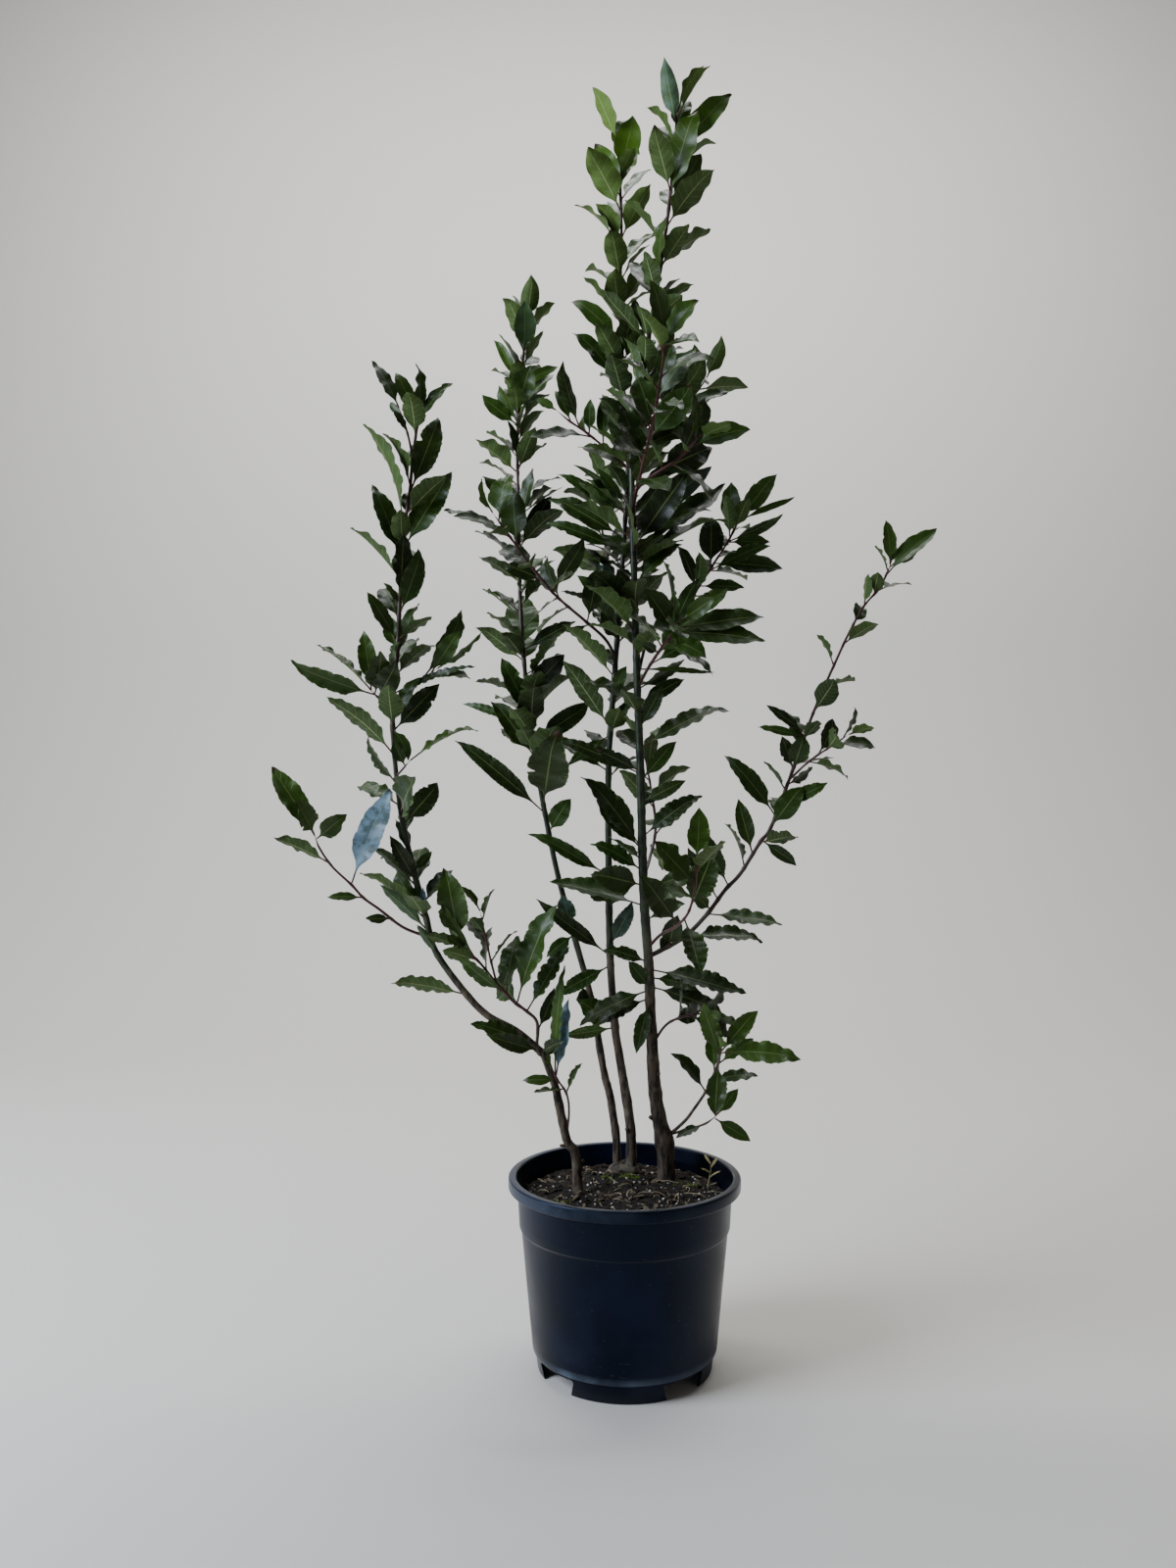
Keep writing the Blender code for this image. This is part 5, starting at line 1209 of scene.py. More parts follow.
def linked(name: str, data: bpy.types.ID) -> bpy.types.Object:
    """Put a new object with some data into the scene."""
    made = bpy.data.objects.new(name, data)
    bpy.context.scene.collection.objects.link(made)
    return made


def meshed(name: str, shape: bmesh.types.BMesh) -> bpy.types.Object:
    """Turn a bmesh into an object in the scene, and free it."""
    mesh = bpy.data.meshes.new(name)
    shape.to_mesh(mesh)
    shape.free()
    return linked(name, mesh)


def welded(shape: bmesh.types.BMesh) -> bmesh.types.BMesh:
    """Weld a bmesh's corners, and turn its faces outward."""
    bmesh.ops.remove_doubles(shape, verts=shape.verts, dist=MERGE)
    bmesh.ops.recalc_face_normals(shape, faces=shape.faces)
    return shape


def finished(name: str, shape: bmesh.types.BMesh, materials: list[bpy.types.Material],
             node: str | tuple[str, ...], degrees: float = 60.0) -> bpy.types.Object:
    """Make a piece of a bmesh, hang it on the root body and hide the solids that it stands for.

    Args:
        name: the piece's name.
        shape: its bmesh, which is freed.
        materials: its finishes, in the order of its faces' material numbers.
        node: the solids that it stands for, or an empty tuple.
        degrees: the angle over which an edge stays sharp.

    Returns:
        The piece.
    """
    piece = meshed(name, shape)
    for finish in materials:
        piece.data.materials.append(finish)
    piece.data.shade_smooth()
    piece.data.set_sharp_from_angle(angle=math.radians(degrees))
    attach(piece, "root")
    if node:
        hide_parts(*((node,) if isinstance(node, str) else node))
    LOG.info("%s: %d faces", name, len(piece.data.polygons))
    return piece


@dataclass
class LeafyShoots:
    """Stems and leaves of one node, drawn fine over the plain ones.

    Pairs are a start and a span, as a share of a blade or in metres above the floor.
    """

    rows_a_metre: float = 380.0
    fewest_rows: int = 14
    across: tuple[float, ...] = (-1.0, -0.55, 0.0, 0.55, 1.0)
    margin_half_thickness: float = 0.00018
    rib_half_thickness: float = 0.00028
    least_half_width: float = 0.0001
    keel: float = 0.0007
    stalk_radius: float = 0.00095
    ripple: float = 0.0011
    scallop: float = 0.045
    hook_share: float = 0.05
    curl_share: float = 0.10
    narrowing: tuple[float, float] = (0.80, 0.20)
    bending: tuple[float, float] = (0.70, 0.30)
    scorched_share: float = 0.15
    bite_counts: tuple[int, ...] = (0, 0, 0, 0, 1, 1, 2)
    wavy_low_z: float = 0.55
    smooth_high_z: float = 1.15
    wavy_left_x: float = -0.17
    stem_sides: int = 14
    stem_step: float = 0.004
    swelling: float = 0.00045
    swelling_reach: float = 0.0028
    knot_turn: float = 6.283
    bud_rows: int = 3
    bud_rise: float = 0.0015
    bark_top_z: float = 0.60
    bark_fade: float = 0.30
    layers: dict = field(default_factory=dict)

    def start(self) -> bmesh.types.BMesh:
        """Return an empty bmesh with the layers that the finishes read."""
        shape = bmesh.new()
        # The second colour layer holds each leaf's share of painted silver-blue reflection
        self.layers = {"traits": shape.verts.layers.float_color.new("traits"),
                       "painted_sheen": shape.verts.layers.float_color.new("painted_sheen"),
                       "blade": shape.loops.layers.uv.new("blade")}
        return shape

    def waviness(self, blade: Blade, draw: random.Random) -> float:
        """Return how waved a leaf's margin is: most on the low, old leaves."""
        share = held((blade.root.z - self.wavy_low_z) / (self.smooth_high_z - self.wavy_low_z))
        if blade.root.x < self.wavy_left_x:
            share = 0.15
        return (1.0 - 0.85 * share) * draw.uniform(0.55, 1.3)

    def add_leaf(self, shape: bmesh.types.BMesh, blade: Blade, youth_and_backlight: float, draw: random.Random) -> None:
        """Draw one leaf as a thin closed blade with a stalk.

        Args:
            shape: the bmesh that takes the leaf.
            blade: the plain leaf that it follows.
            youth_and_backlight: how light its green is, from young growth and painted back-light, from 0 to
                1.
            draw: the source of its small differences.
        """
        length = blade.chord.length
        wavy = self.waviness(blade, draw)
        waves = draw.uniform(5.0, 9.0) * max(length / 0.09, 0.6)
        ripple = self.ripple * wavy * min(length / 0.07, 1.2)
        phases = (draw.uniform(0.0, 6.3), draw.uniform(0.0, 6.3))
        hook = draw.uniform(-1.0, 1.0) * self.hook_share * length
        curl = draw.uniform(0.0, 1.0) ** 2 * self.curl_share * length
        bites = [(draw.uniform(0.35, 0.95), draw.choice((-1.0, 1.0)), draw.uniform(0.02, 0.045),
                  draw.uniform(0.2, 0.5))
                 for _ in range(draw.choice(self.bite_counts) if wavy > 0.5 else 0)]
        columns = len(self.across) - 1
        around = 2 * columns
        rows = max(self.fewest_rows, round(length * self.rows_a_metre))

        def across_at(turn: float) -> float:
            column = round(turn * around)
            return self.across[min(column, around - column)]

        def place(turn: float, along: float) -> Vector:
            row = round(along * rows)
            centre, side, upper = frames[row]
            if row in (0, rows):
                return centre + (side * hook - upper * curl if row == rows else Vector())
            across = across_at(turn)
            out = abs(across)
            facing = 1.0 if round(turn * around) <= columns else -1.0
            share = (row / rows - PETIOLE_SHARE) / (1.0 - PETIOLE_SHARE)
            in_blade = held(share / FULL_SHARE)
            in_blade = in_blade * in_blade * (3.0 - 2.0 * in_blade)
            narrowed = 1.0 - 0.35 * beyond(share, *self.narrowing)
            half_width = 0.5 * BROADER * blade.width * outline(share) * narrowed
            angle = math.tau * waves * share + phases[0 if across < 0 else 1]
            scallop = 1.0 + self.scallop * wavy * math.sin(angle * 2.0 + 1.3)
            for at, bitten_side, reach, depth in bites:
                if bitten_side * across > 0 and abs(share - at) < reach:
                    scallop *= 1.0 - depth * out ** 3 * (1.0 - ((share - at) / reach) ** 2) ** 0.5
            half_width = max(half_width * (scallop if out > 0.9 else 1.0), self.least_half_width)
            rise = half_width * math.tan(blade.fold) * in_blade * out ** 1.25
            coarse = math.tau * WAVES_A_SIDE * share + blade.phase + (RIGHT_LAG if across > 0 else 0.0)
            rise += blade.wave * in_blade * math.sin(coarse) * out ** 2
            rise += ripple * in_blade * math.sin(angle) * out ** 3
            if out < 1.0:
                thick = mix((self.rib_half_thickness, self.margin_half_thickness), out)
                keel = self.keel * (1.0 - 0.7 * share) if across == 0 and facing < 0 else 0.0
                rise = rise + (thick if facing > 0 else -thick - keel)
            reach_out = half_width * across
            if in_blade < 1.0:
                round_x = self.stalk_radius * math.sin(across * math.pi / 2)
                round_z = self.stalk_radius * math.cos(across * math.pi / 2) * facing
                reach_out = mix((round_x, reach_out), in_blade)
                rise = mix((round_z, rise), in_blade)
            bend = beyond(share, *self.bending) ** 2
            return centre + side * (reach_out + hook * bend) + upper * (rise - curl * bend)

        frames = [blade_frame(blade, row / rows) for row in range(rows + 1)]
        corners = wrapped(shape, around, rows, lambda turn, along: Vector((turn, along, 0.0)))
        # The first trait lightens the green: young growth and painted back-light
        traits = (youth_and_backlight, draw.random(), 1.0 if draw.random() < self.scorched_share else 0.0, 1.0)
        faces = {face for corner in corners for face in corner.link_faces}
        spots = {corner: (corner.co.x, corner.co.y) for corner in corners}
        for face in faces:
            middle = sum(spots[corner][0] for corner in face.verts) / 4.0
            face.material_index = (Face.UPPER if middle < 0.5 else Face.UNDER).value
            for loop in face.loops:
                turn, along = spots[loop.vert]
                loop[self.layers["blade"]].uv = ((across_at(turn) + 1.0) / 2.0, along)
        for corner, (turn, along) in spots.items():
            corner.co = place(turn, along)
            corner[self.layers["traits"]] = traits
            # Each corner carries its leaf's share of painted silver-blue reflection
            corner[self.layers["painted_sheen"]] = (blade.painted_sheen, blade.painted_sheen, blade.painted_sheen, 1.0)
        bmesh.ops.remove_doubles(shape, verts=corners, dist=MERGE)

    def add_stem(self, shape: bmesh.types.BMesh, stem: Stem, roots: list[float], start: float,
                 stop: float, youngest: float) -> None:
        """Draw one stem or twig, swollen a little where its leaves grow.

        Args:
            shape: the bmesh that takes the stem.
            stem: its centre line and thickness.
            roots: the distances up the stem where leaves grow.
            start: the distance where it starts; below 0 it runs on straight into its parent.
            stop: the distance where it ends, as a rounded bud.
            youngest: how red its tip is, from 0 to 1.
        """
        rows = max(6, math.ceil((stop - start) / self.stem_step))
        base, tip = stem.shoot.diameters
        ups = [stem.direction(start + (stop - start) * row / rows) for row in range(rows + 1)]
        square = min((Vector((1.0, 0.0, 0.0)), Vector((0.0, 1.0, 0.0)), Vector((0.0, 0.0, 1.0))),
                     key=lambda axis: max(abs(up.dot(axis)) for up in ups))

        def place(turn: float, along: float) -> Vector:
            row = round(along * rows)
            mark = start + (stop - start) * max(row - 1, 0) / (rows - 1)
            up = stem.direction(mark)
            centre = stem.point(mark) + (up * mark if mark < 0 else Vector())
            if row in (0, rows):
                return centre + (up * self.bud_rise if row == rows else Vector())
            side = (square - up * square.dot(up)).normalized()
            swollen = sum(math.exp(-((mark - root) / self.swelling_reach) ** 2) for root in roots)
            radius = stem.radius(mark) + self.swelling * min(swollen, 1.5)
            knots = noise.noise(Vector((centre.x, centre.y, centre.z * 0.6)) * 90.0
                                + side * math.cos(turn * self.knot_turn))
            radius *= 1.0 + 0.05 * knots
            if rows - row < self.bud_rows:
                radius *= (rows - row) / self.bud_rows
            return centre + outward(side, up, turn * math.tau) * radius

        corners = wrapped(shape, self.stem_sides, rows, place)
        foot = stem.point(0.0)
        for corner in corners:
            woody = held((self.bark_top_z - corner.co.z) / self.bark_fade) * min(base / 6.0, 1.0)
            share = held((corner.co - foot).length / stem.length)
            slender = held((6.5 - base - (tip - base) * share) / 3.5)
            corner[self.layers["traits"]] = (woody, youngest * slender, 0.5, 1.0)
        bmesh.ops.remove_doubles(shape, verts=corners, dist=MERGE)


# Stubs of old pruned twigs: trunk, distance up it, angle about it and size
STUBS = {
    "trunk_left": (("trunk_left", 0.034, 0.4, 0.0020), ("trunk_left", 0.062, 3.6, 0.0018)),
    "trunk_centre_pair": (("trunk_centre_right", 0.052, 4.1, 0.0022),),
    "trunk_right": (("trunk_right", 0.074, 3.4, 0.0026), ("trunk_right", 0.124, 5.4, 0.0020)),
}
BARE_WOOD = (1.0, 0.0, 0.5, 1.0)


@dataclass
class WoodyTrunks:
    """The woody trunks, with their bark, the root flare of the centre pair and the burl."""

    sides: int = 28
    step: float = 0.0022
    foot_z: float = 0.165
    overlap: float = 0.0006
    lump: float = 0.0007
    fissure_depth: float = 0.0007
    smooth_end: float = 0.025
    foot_swelling: float = 0.0016
    foot_reach: float = 0.012
    scar: float = 0.0005
    scar_reach: float = 0.004
    flare_centre_mm: tuple[float, float, float] = (2.0, 77.0, 189.0)
    flare_radii_mm: tuple[float, float, float] = (19.0, 14.0, 13.0)
    burl_z: float = 0.232
    burl_reach: float = 0.013
    burl_swelling: float = 0.0026
    burl_lump: float = 0.0012
    bark_top_z: float = 0.62
    bark_fade: float = 0.30
    stub_length: float = 0.008
    stub_bevel: float = 0.0006

    def add_trunk(self, shape: bmesh.types.BMesh, stem: Stem, traits: object) -> None:
        """Draw one trunk from inside the soil to just inside its leafy stem."""
        drop = stem.point(0.0).z - self.foot_z
        stop = stem.length + self.overlap
        rows = math.ceil((stop + drop) / self.step)

        def place(turn: float, along: float) -> Vector:
            row = round(along * rows)
            mark = -drop + (stop + drop) * min(row, rows - 1) / (rows - 1)
            up = stem.direction(max(mark, 0.0))
            centre = stem.point(mark)
            if mark < 0:
                centre = Vector((centre.x, centre.y, centre.z + mark))
            if mark > stem.length:
                centre = centre + up * (mark - stem.length)
            if row in (0, rows):
                return centre
            side = (Vector((1.0, 0.0, 0.0)) - up * up.x).normalized()
            out = outward(side, up, turn * math.tau)
            radius = stem.radius(mark)
            flare = math.exp(-max(mark, 0.0) / self.foot_reach) * self.foot_swelling
            spot = centre + out * radius
            lumps = noise.noise(Vector((spot.x, spot.y, spot.z * 0.35)) * 160.0)
            cracks = noise.fractal(Vector((spot.x, spot.y, spot.z * 0.30)) * 520.0, 1.0, 2.0, 3)
            rough = min((stop - mark) / self.smooth_end, 1.0)
            radius += flare + (self.lump * lumps + self.fissure_depth * cracks * 0.5) * rough
            if stem.shoot.name == "trunk_right":
                close = math.exp(-((centre.z - self.burl_z) / self.burl_reach) ** 2)
                radius += close * (self.burl_swelling + self.burl_lump * noise.noise(spot * 110.0))
            radius += self.scar * math.exp(-((mark - stem.length * 0.52) / self.scar_reach) ** 2)
            return centre + out * radius

        corners = wrapped(shape, self.sides, rows, place)
        for corner in corners:
            corner[traits] = (held((self.bark_top_z - corner.co.z) / self.bark_fade), 0.0, 0.5, 1.0)
        bmesh.ops.remove_doubles(shape, verts=corners, dist=MERGE)

    def add_flare(self, shape: bmesh.types.BMesh, traits: object) -> None:
        """Draw the lumpy root flare of the centre pair."""
        middle = Vector(self.flare_centre_mm) * MM
        for corner in bmesh.ops.create_icosphere(shape, subdivisions=4, radius=1.0)["verts"]:
            lump = 1.0 + 0.10 * noise.noise(corner.co * 2.3 + middle * 20.0)
            lump += 0.05 * noise.fractal(corner.co * 6.0, 1.0, 2.0, 3)
            reach = Vector([co * extent * MM for co, extent in zip(corner.co, self.flare_radii_mm)])
            corner.co = middle + reach * lump
            corner[traits] = BARE_WOOD

    def add_stub(self, shape: bmesh.types.BMesh, stem: Stem, along: float, angle: float, size: float,
                 traits: object) -> None:
        """Draw the stub of an old pruned twig on a trunk."""
        up = stem.direction(along)
        side = (Vector((1.0, 0.0, 0.0)) - up * up.x).normalized()
        out = outward(side, up, angle)
        lean = (out + up * 0.8).normalized()
        root = stem.point(along) + out * stem.radius(along) * 0.6
        turn = lean.to_track_quat("Z", "Y").to_matrix().to_4x4()
        place = Matrix.Translation(root + lean * (self.stub_length / 2)) @ turn
        made = bmesh.ops.create_cone(shape, cap_ends=True, segments=10, radius1=size * 1.25,
                                     radius2=size * 0.8, depth=self.stub_length, matrix=place)
        rings = [edge for edge in edges_of(made["verts"])
                 if len({round(corner.co.dot(lean), 5) for corner in edge.verts}) == 1]
        bmesh.ops.bevel(shape, geom=rings, offset=self.stub_bevel, segments=2, profile=0.5, affect="EDGES",
                        material=-1)
        for corner in shape.verts:
            if corner[traits][3] == 0.0:
                corner[traits] = BARE_WOOD

    def build(self, stems: dict[str, Stem], bark: bpy.types.Material) -> None:
        """Build the three trunk pieces, from every shoot's centre line and the bark's finish."""
        for node, trunks in by_node(TRUNKS).items():
            shape = bmesh.new()
            traits = shape.verts.layers.float_color.new("traits")
            for trunk in trunks:
                self.add_trunk(shape, stems[trunk.name], traits)
            if node == "trunk_centre_pair":
                self.add_flare(shape, traits)
            for name, along, angle, size in STUBS[node]:
                self.add_stub(shape, stems[name], along, angle, size, traits)
            finished(f"{node}_bark", shape, [bark], node, 70.0)


def near(radius: float, z: float, *offsets: tuple[float, float]) -> list[tuple[float, float]]:
    """Return outline points by their offsets outward and upward from a place."""
    return [(radius + out, z + up) for out, up in offsets]


def between(start: tuple[float, float], stop: tuple[float, float],
            shares: tuple[float, ...]) -> list[tuple[float, float]]:
    """Return outline points at shares of the line between two places."""
    return [(mix((start[0], stop[0]), share), mix((start[1], stop[1]), share)) for share in shares]


@dataclass
class NurseryPot:
    """A moulded nursery pot: rolled rim, stepped collar, tapered wall, notched foot ring."""

    height: float = POT_HEIGHT
    rim_radius: float = RIM_RADIUS
    rim_height: float = 0.0135
    rim_width: float = 0.009
    rim_round: float = 0.0022
    collar_top_radius: float = 0.1200
    collar_foot_radius: float = 0.1178
    collar_foot_z: float = 0.155
    collar_step: float = 0.0022
    wall_foot_radius: float = 0.1030
    wall_foot_z: float = 0.0215
    wall: float = 0.0022
    foot_top_radius: float = 0.1004
    foot_bottom_radius: float = 0.0970
    floor_underside_z: float = 0.0180
    floor_top_z: float = 0.0205
    steps: int = 160
    notches: int = 4
    first_notch_deg: float = -141.0
    notch_top_half_width: float = 0.0290
    notch_bottom_half_width: float = 0.0225
    notch_middle: float = 0.0944
    notch_depth: float = 0.040
    notch_top_z: float = 0.0176
    notch_round: float = 0.004
    hole_reach: float = 0.078
    hole_radius: float = 0.006
    hole_middle_z: float = 0.01925
    hole_depth: float = 0.010
    edge_reach: float = 0.0016

    def profile(self) -> list[tuple[float, float]]:
        """Return the pot's outline in the XZ plane, from the floor's middle over the rim to below it."""
        rim_bottom = self.height - self.rim_height
        inner_foot, inner_top = self.wall_foot_radius - self.wall, self.collar_top_radius - self.wall
        points = [(0.0, self.floor_top_z)]
        points += near(inner_foot, self.floor_top_z, (-0.003, 0.0), (-0.0009, 0.0009), (0.0003, 0.003))
        points += near(inner_top, rim_bottom, (-0.0004, -0.004), (0.0004, 0.0))
        inside = self.rim_radius - self.rim_width + self.rim_round
        outside = self.rim_radius - self.rim_round
        high, low = self.height - self.rim_round, rim_bottom + self.rim_round
        for middle_x, middle_z, first in ((inside, high, 180.0), (outside, high, 90.0), (outside, low, 0.0)):
            for step in range(5):
                angle = math.radians(first - 22.5 * step)
                points.append((middle_x + self.rim_round * math.cos(angle),
                               middle_z + self.rim_round * math.sin(angle)))
        collar_top = (self.collar_top_radius, rim_bottom)
        collar_foot = (self.collar_foot_radius, self.collar_foot_z)
        points += near(*collar_top, (0.0012, 0.0), (0.0, -0.0012))
        points += between(collar_top, collar_foot, (0.25, 0.5, 0.75))
        points += near(*collar_foot, (0.0, 0.0008), (-0.0003, 0.0), (-0.0008, -0.0005))
        wall_top = (self.collar_foot_radius - self.collar_step, self.collar_foot_z - self.collar_step)
        wall_foot = (self.wall_foot_radius, self.wall_foot_z)
        points += near(*wall_top, (0.0002, 0.0), (-0.0001, -0.0012))
        points += between(wall_top, wall_foot, (0.2, 0.4, 0.6, 0.8, 0.94))
        points += near(*wall_foot, (0.0, 0.0006), (-0.0004, -0.0004))
        points += [(self.wall_foot_radius - 0.0011, self.floor_top_z),
                   (self.foot_top_radius, self.floor_top_z - 0.0005)]
        points += near(self.foot_bottom_radius, 0.0, (0.0002, 0.0006), (-0.0004, 0.0))
        points += near(self.foot_bottom_radius - self.wall, 0.0, (0.0004, 0.0), (0.0, 0.0006))
        points += [(self.foot_top_radius - self.wall, self.floor_underside_z), (0.0, self.floor_underside_z)]
        return points

    def shell(self) -> bmesh.types.BMesh:
        """Spin the outline into a closed shell."""
        shape = bmesh.new()
        corners = [shape.verts.new((radius, 0.0, height)) for radius, height in self.profile()]
        edges = [shape.edges.new(pair) for pair in zip(corners, corners[1:])]
        bmesh.ops.spin(shape, geom=corners + edges, cent=(0, 0, 0), axis=(0, 0, 1), angle=math.tau,
                       steps=self.steps, use_merge=True)
        return welded(shape)

    def cutters(self) -> bpy.types.Object:
        """Build the cutters of the foot's notches and of the drain holes as one object."""
        shape = bmesh.new()
        for index in range(self.notches):
            angle = math.radians(self.first_notch_deg + 360.0 * index / self.notches)
            wedge = bmesh.ops.create_cube(shape, size=1.0)["verts"]
            for corner in wedge:
                high = corner.co.z > 0
                half = self.notch_top_half_width if high else self.notch_bottom_half_width
                corner.co = (self.notch_middle + corner.co.x * self.notch_depth,
                             math.copysign(half, corner.co.y), self.notch_top_z if high else -self.wall)
            upright = [edge for edge in edges_of(wedge) if abs(edge.verts[0].co.z - edge.verts[1].co.z) < MM
                       and edge.verts[0].co.z > 0 and abs(edge.verts[0].co.y - edge.verts[1].co.y) < MM]
            made = bmesh.ops.bevel(shape, geom=upright, offset=self.notch_round, segments=4, profile=0.5,
                                   affect="EDGES", material=-1)
            turned_corners = dict.fromkeys([*[v for v in wedge if v.is_valid], *made["verts"]])
            bmesh.ops.rotate(shape, verts=list(turned_corners), matrix=Matrix.Rotation(angle, 3, "Z"))
            place = Matrix.Translation((self.hole_reach * math.cos(angle), self.hole_reach * math.sin(angle),
                                        self.hole_middle_z))
            bmesh.ops.create_cone(shape, cap_ends=True, segments=32, radius1=self.hole_radius,
                                  radius2=self.hole_radius, depth=self.hole_depth, matrix=place)
        return meshed("pot_cutters", shape)

    def build(self, plastic: bpy.types.Material) -> None:
        """Build the pot with its finish."""
        drawn, cutters = meshed("pot_shell", self.shell()), self.cutters()
        cut = drawn.modifiers.new("cut", "BOOLEAN")
        cut.operation = "DIFFERENCE"
        cut.object = cutters
        cut.solver = "EXACT"
        shape = bmesh.new()
        shape.from_object(drawn, bpy.context.evaluated_depsgraph_get())
        for item in (drawn, cutters):
            bpy.data.objects.remove(item, do_unlink=True)
        # Pale edge band on the wall's foot and the rim: rubbed wear and a painted highlight
        wear_and_highlight = shape.verts.layers.float_color.new("wear_and_highlight")
        for corner in shape.verts:
            radius, z = math.hypot(corner.co.x, corner.co.y), corner.co.z
            foot_edge = (abs(z - self.wall_foot_z) < self.edge_reach
                         and radius > self.wall_foot_radius - self.edge_reach)
            rim_edge = z > self.height - 0.0006 or radius > self.rim_radius - 0.0004
            share = 1.0 if foot_edge else 0.16 if rim_edge else 0.0
            corner[wear_and_highlight] = (share, share, share, 1.0)
        finished("nursery_pot", shape, [plastic], "pot", 38.0)


@dataclass
class PottingMix:
    """Peat and bark mix with its crumbs, bark chips, perlite grains, fibres and cushions of moss."""

    top_z: float = 0.185
    mound: float = 0.005
    mound_reach: float = 0.1200
    lump: float = 0.0025
    crumb: float = 0.0020
    grit: float = 0.0022
    around: int = 420
    rings: int = 84
    edge_radius: float = 0.1142
    foot_radius: float = 0.0999
    floor_z: float = 0.0208
    seed: int = 77
    chip_count: int = 420
    chip_size: tuple[float, float, float] = (0.013, 0.0055, 0.0022)
    chip_rise: float = 0.0006
    perlite_count: int = 170
    fibre_count: int = 190
    moss_reach: float = 0.108
    cushions: tuple[tuple[float, float, float, int], ...] = (
        (0.006, 0.055, 0.006, 70), (-0.018, 0.047, 0.005, 30), (0.071, 0.020, 0.006, 34),
        (-0.070, -0.035, 0.005, 26))

    def height(self, x: float, y: float) -> float:
        """Return the solid soil's height at a place."""
        reach = math.hypot(x, y) / self.mound_reach
        lump = noise.noise(Vector((x, y, 0.3)) * 38.0)
        crumb = noise.noise(Vector((x, y, 1.7)) * 90.0)
        return self.top_z + self.mound * (1.0 - reach * reach) + self.lump * (lump + 0.5 * crumb)

    def fine_height(self, x: float, y: float) -> float:
        """Return the crumbly surface's height at a place."""
        spot = Vector((x, y, 0.0))
        crumbs = noise.fractal(spot * 150.0, 0.8, 2.1, 4)
        grit = max(0.0, noise.noise(spot * 420.0)) ** 2
        return self.height(x, y) + self.crumb * crumbs + self.grit * grit

    def surface(self, finish: bpy.types.Material) -> None:
        """Build the soil's body: crumbly on top, plain below."""
        def place(turn: float, along: float) -> Vector:
            angle = turn * math.tau
            row = round(along * (self.rings + 2))
            if row <= self.rings:
                reach = self.edge_radius * (row / self.rings) ** 0.85
                x, y = reach * math.cos(angle), reach * math.sin(angle)
                return Vector((x, y, self.fine_height(x, y)))
            reach = self.foot_radius if row == self.rings + 1 else 0.0
            return Vector((reach * math.cos(angle), reach * math.sin(angle), self.floor_z))

        shape = bmesh.new()
        wrapped(shape, self.around, self.rings + 2, place)
        finished("potting_mix", welded(shape), [finish], "potting_soil", 80.0)

    def spot(self, draw: random.Random, reach: float = 0.110) -> tuple[float, float]:
        """Draw a place on the soil, evenly over its face."""
        radius = reach * math.sqrt(draw.random())
        angle = draw.uniform(0.0, math.tau)
        return radius * math.cos(angle), radius * math.sin(angle)

    def mark(self, shape: bmesh.types.BMesh, first: int, kind: int) -> None:
        """Give a bmesh's faces from the first on the finish of a kind."""
        shape.faces.ensure_lookup_table()
        for face in shape.faces[first:]:
            face.material_index = kind

    def chips(self, finishes: list[bpy.types.Material]) -> None:
        """Build the bark chips and wood flakes, split and bent a little."""
        # Without a seed of its own noise_vector differs from run to run
        noise.seed_set(self.seed)
        draw = random.Random(self.seed)
        shape = bmesh.new()
        for _ in range(self.chip_count):
            x, y = self.spot(draw)
            size = draw.uniform(0.55, 1.0) ** 2
            long, wide, thick = [side * size for side in self.chip_size]
            first, first_corner = len(shape.faces), len(shape.verts)
            corners = bmesh.ops.create_cube(shape, size=1.0)["verts"]
            bmesh.ops.subdivide_edges(shape, edges=edges_of(corners), cuts=1, use_grid_fill=True)
            shape.verts.ensure_lookup_table()
            shift = Vector([draw.uniform(-9, 9) for _ in range(3)])
            turns = (draw.uniform(0, 6.3), draw.gauss(0, 0.45), draw.gauss(0, 0.35))
            tilt = Matrix.Rotation(turns[0], 4, "Z") @ Matrix.Rotation(turns[1], 4, "X") \
                @ Matrix.Rotation(turns[2], 4, "Y")
            place = Matrix.Translation((x, y, self.fine_height(x, y) + self.chip_rise)) @ tilt
            for corner in shape.verts[first_corner:]:
                jag = noise.noise_vector(corner.co * 1.7 + shift) * 0.32
                taper = 1.0 - 0.35 * abs(corner.co.x) * 2.0
                corner.co = place @ Vector(((corner.co.x + jag.x * 0.4) * long,
                                            (corner.co.y * taper + jag.y) * wide,
                                            (corner.co.z + jag.z) * thick))
            self.mark(shape, first, 0 if draw.random() < 0.68 else 1)
        finished("bark_chips", shape, finishes, (), 30.0)

    def perlite(self, finish: bpy.types.Material) -> None:
        """Build the white perlite grains."""
        draw = random.Random(self.seed + 1)
        shape = bmesh.new()
        for _ in range(self.perlite_count):
            x, y = self.spot(draw)
            radius = draw.uniform(0.0006, 0.0016)
            sunk = self.fine_height(x, y) + radius * draw.uniform(-0.1, 0.5)
            shift = Vector((x, y, 0.0)) * 300.0
            for corner in bmesh.ops.create_icosphere(shape, subdivisions=1, radius=1.0)["verts"]:
                jag = 1.0 + 0.35 * noise.noise(corner.co * 1.4 + shift)
                corner.co = Vector((x, y, sunk)) + corner.co * radius * jag
        finished("perlite_grains", shape, [finish], (), 50.0)

    def fibres(self, finishes: list[bpy.types.Material]) -> None:
        """Build the fine root hairs and straw on the soil."""
        draw = random.Random(self.seed + 2)
        shape = bmesh.new()
        for _ in range(self.fibre_count):
            x, y = self.spot(draw, 0.106)
            length, heading = draw.uniform(0.006, 0.022), draw.uniform(0.0, math.tau)
            bend, radius = draw.uniform(-1.2, 1.2), draw.uniform(0.00018, 0.00045)
            first = len(shape.faces)

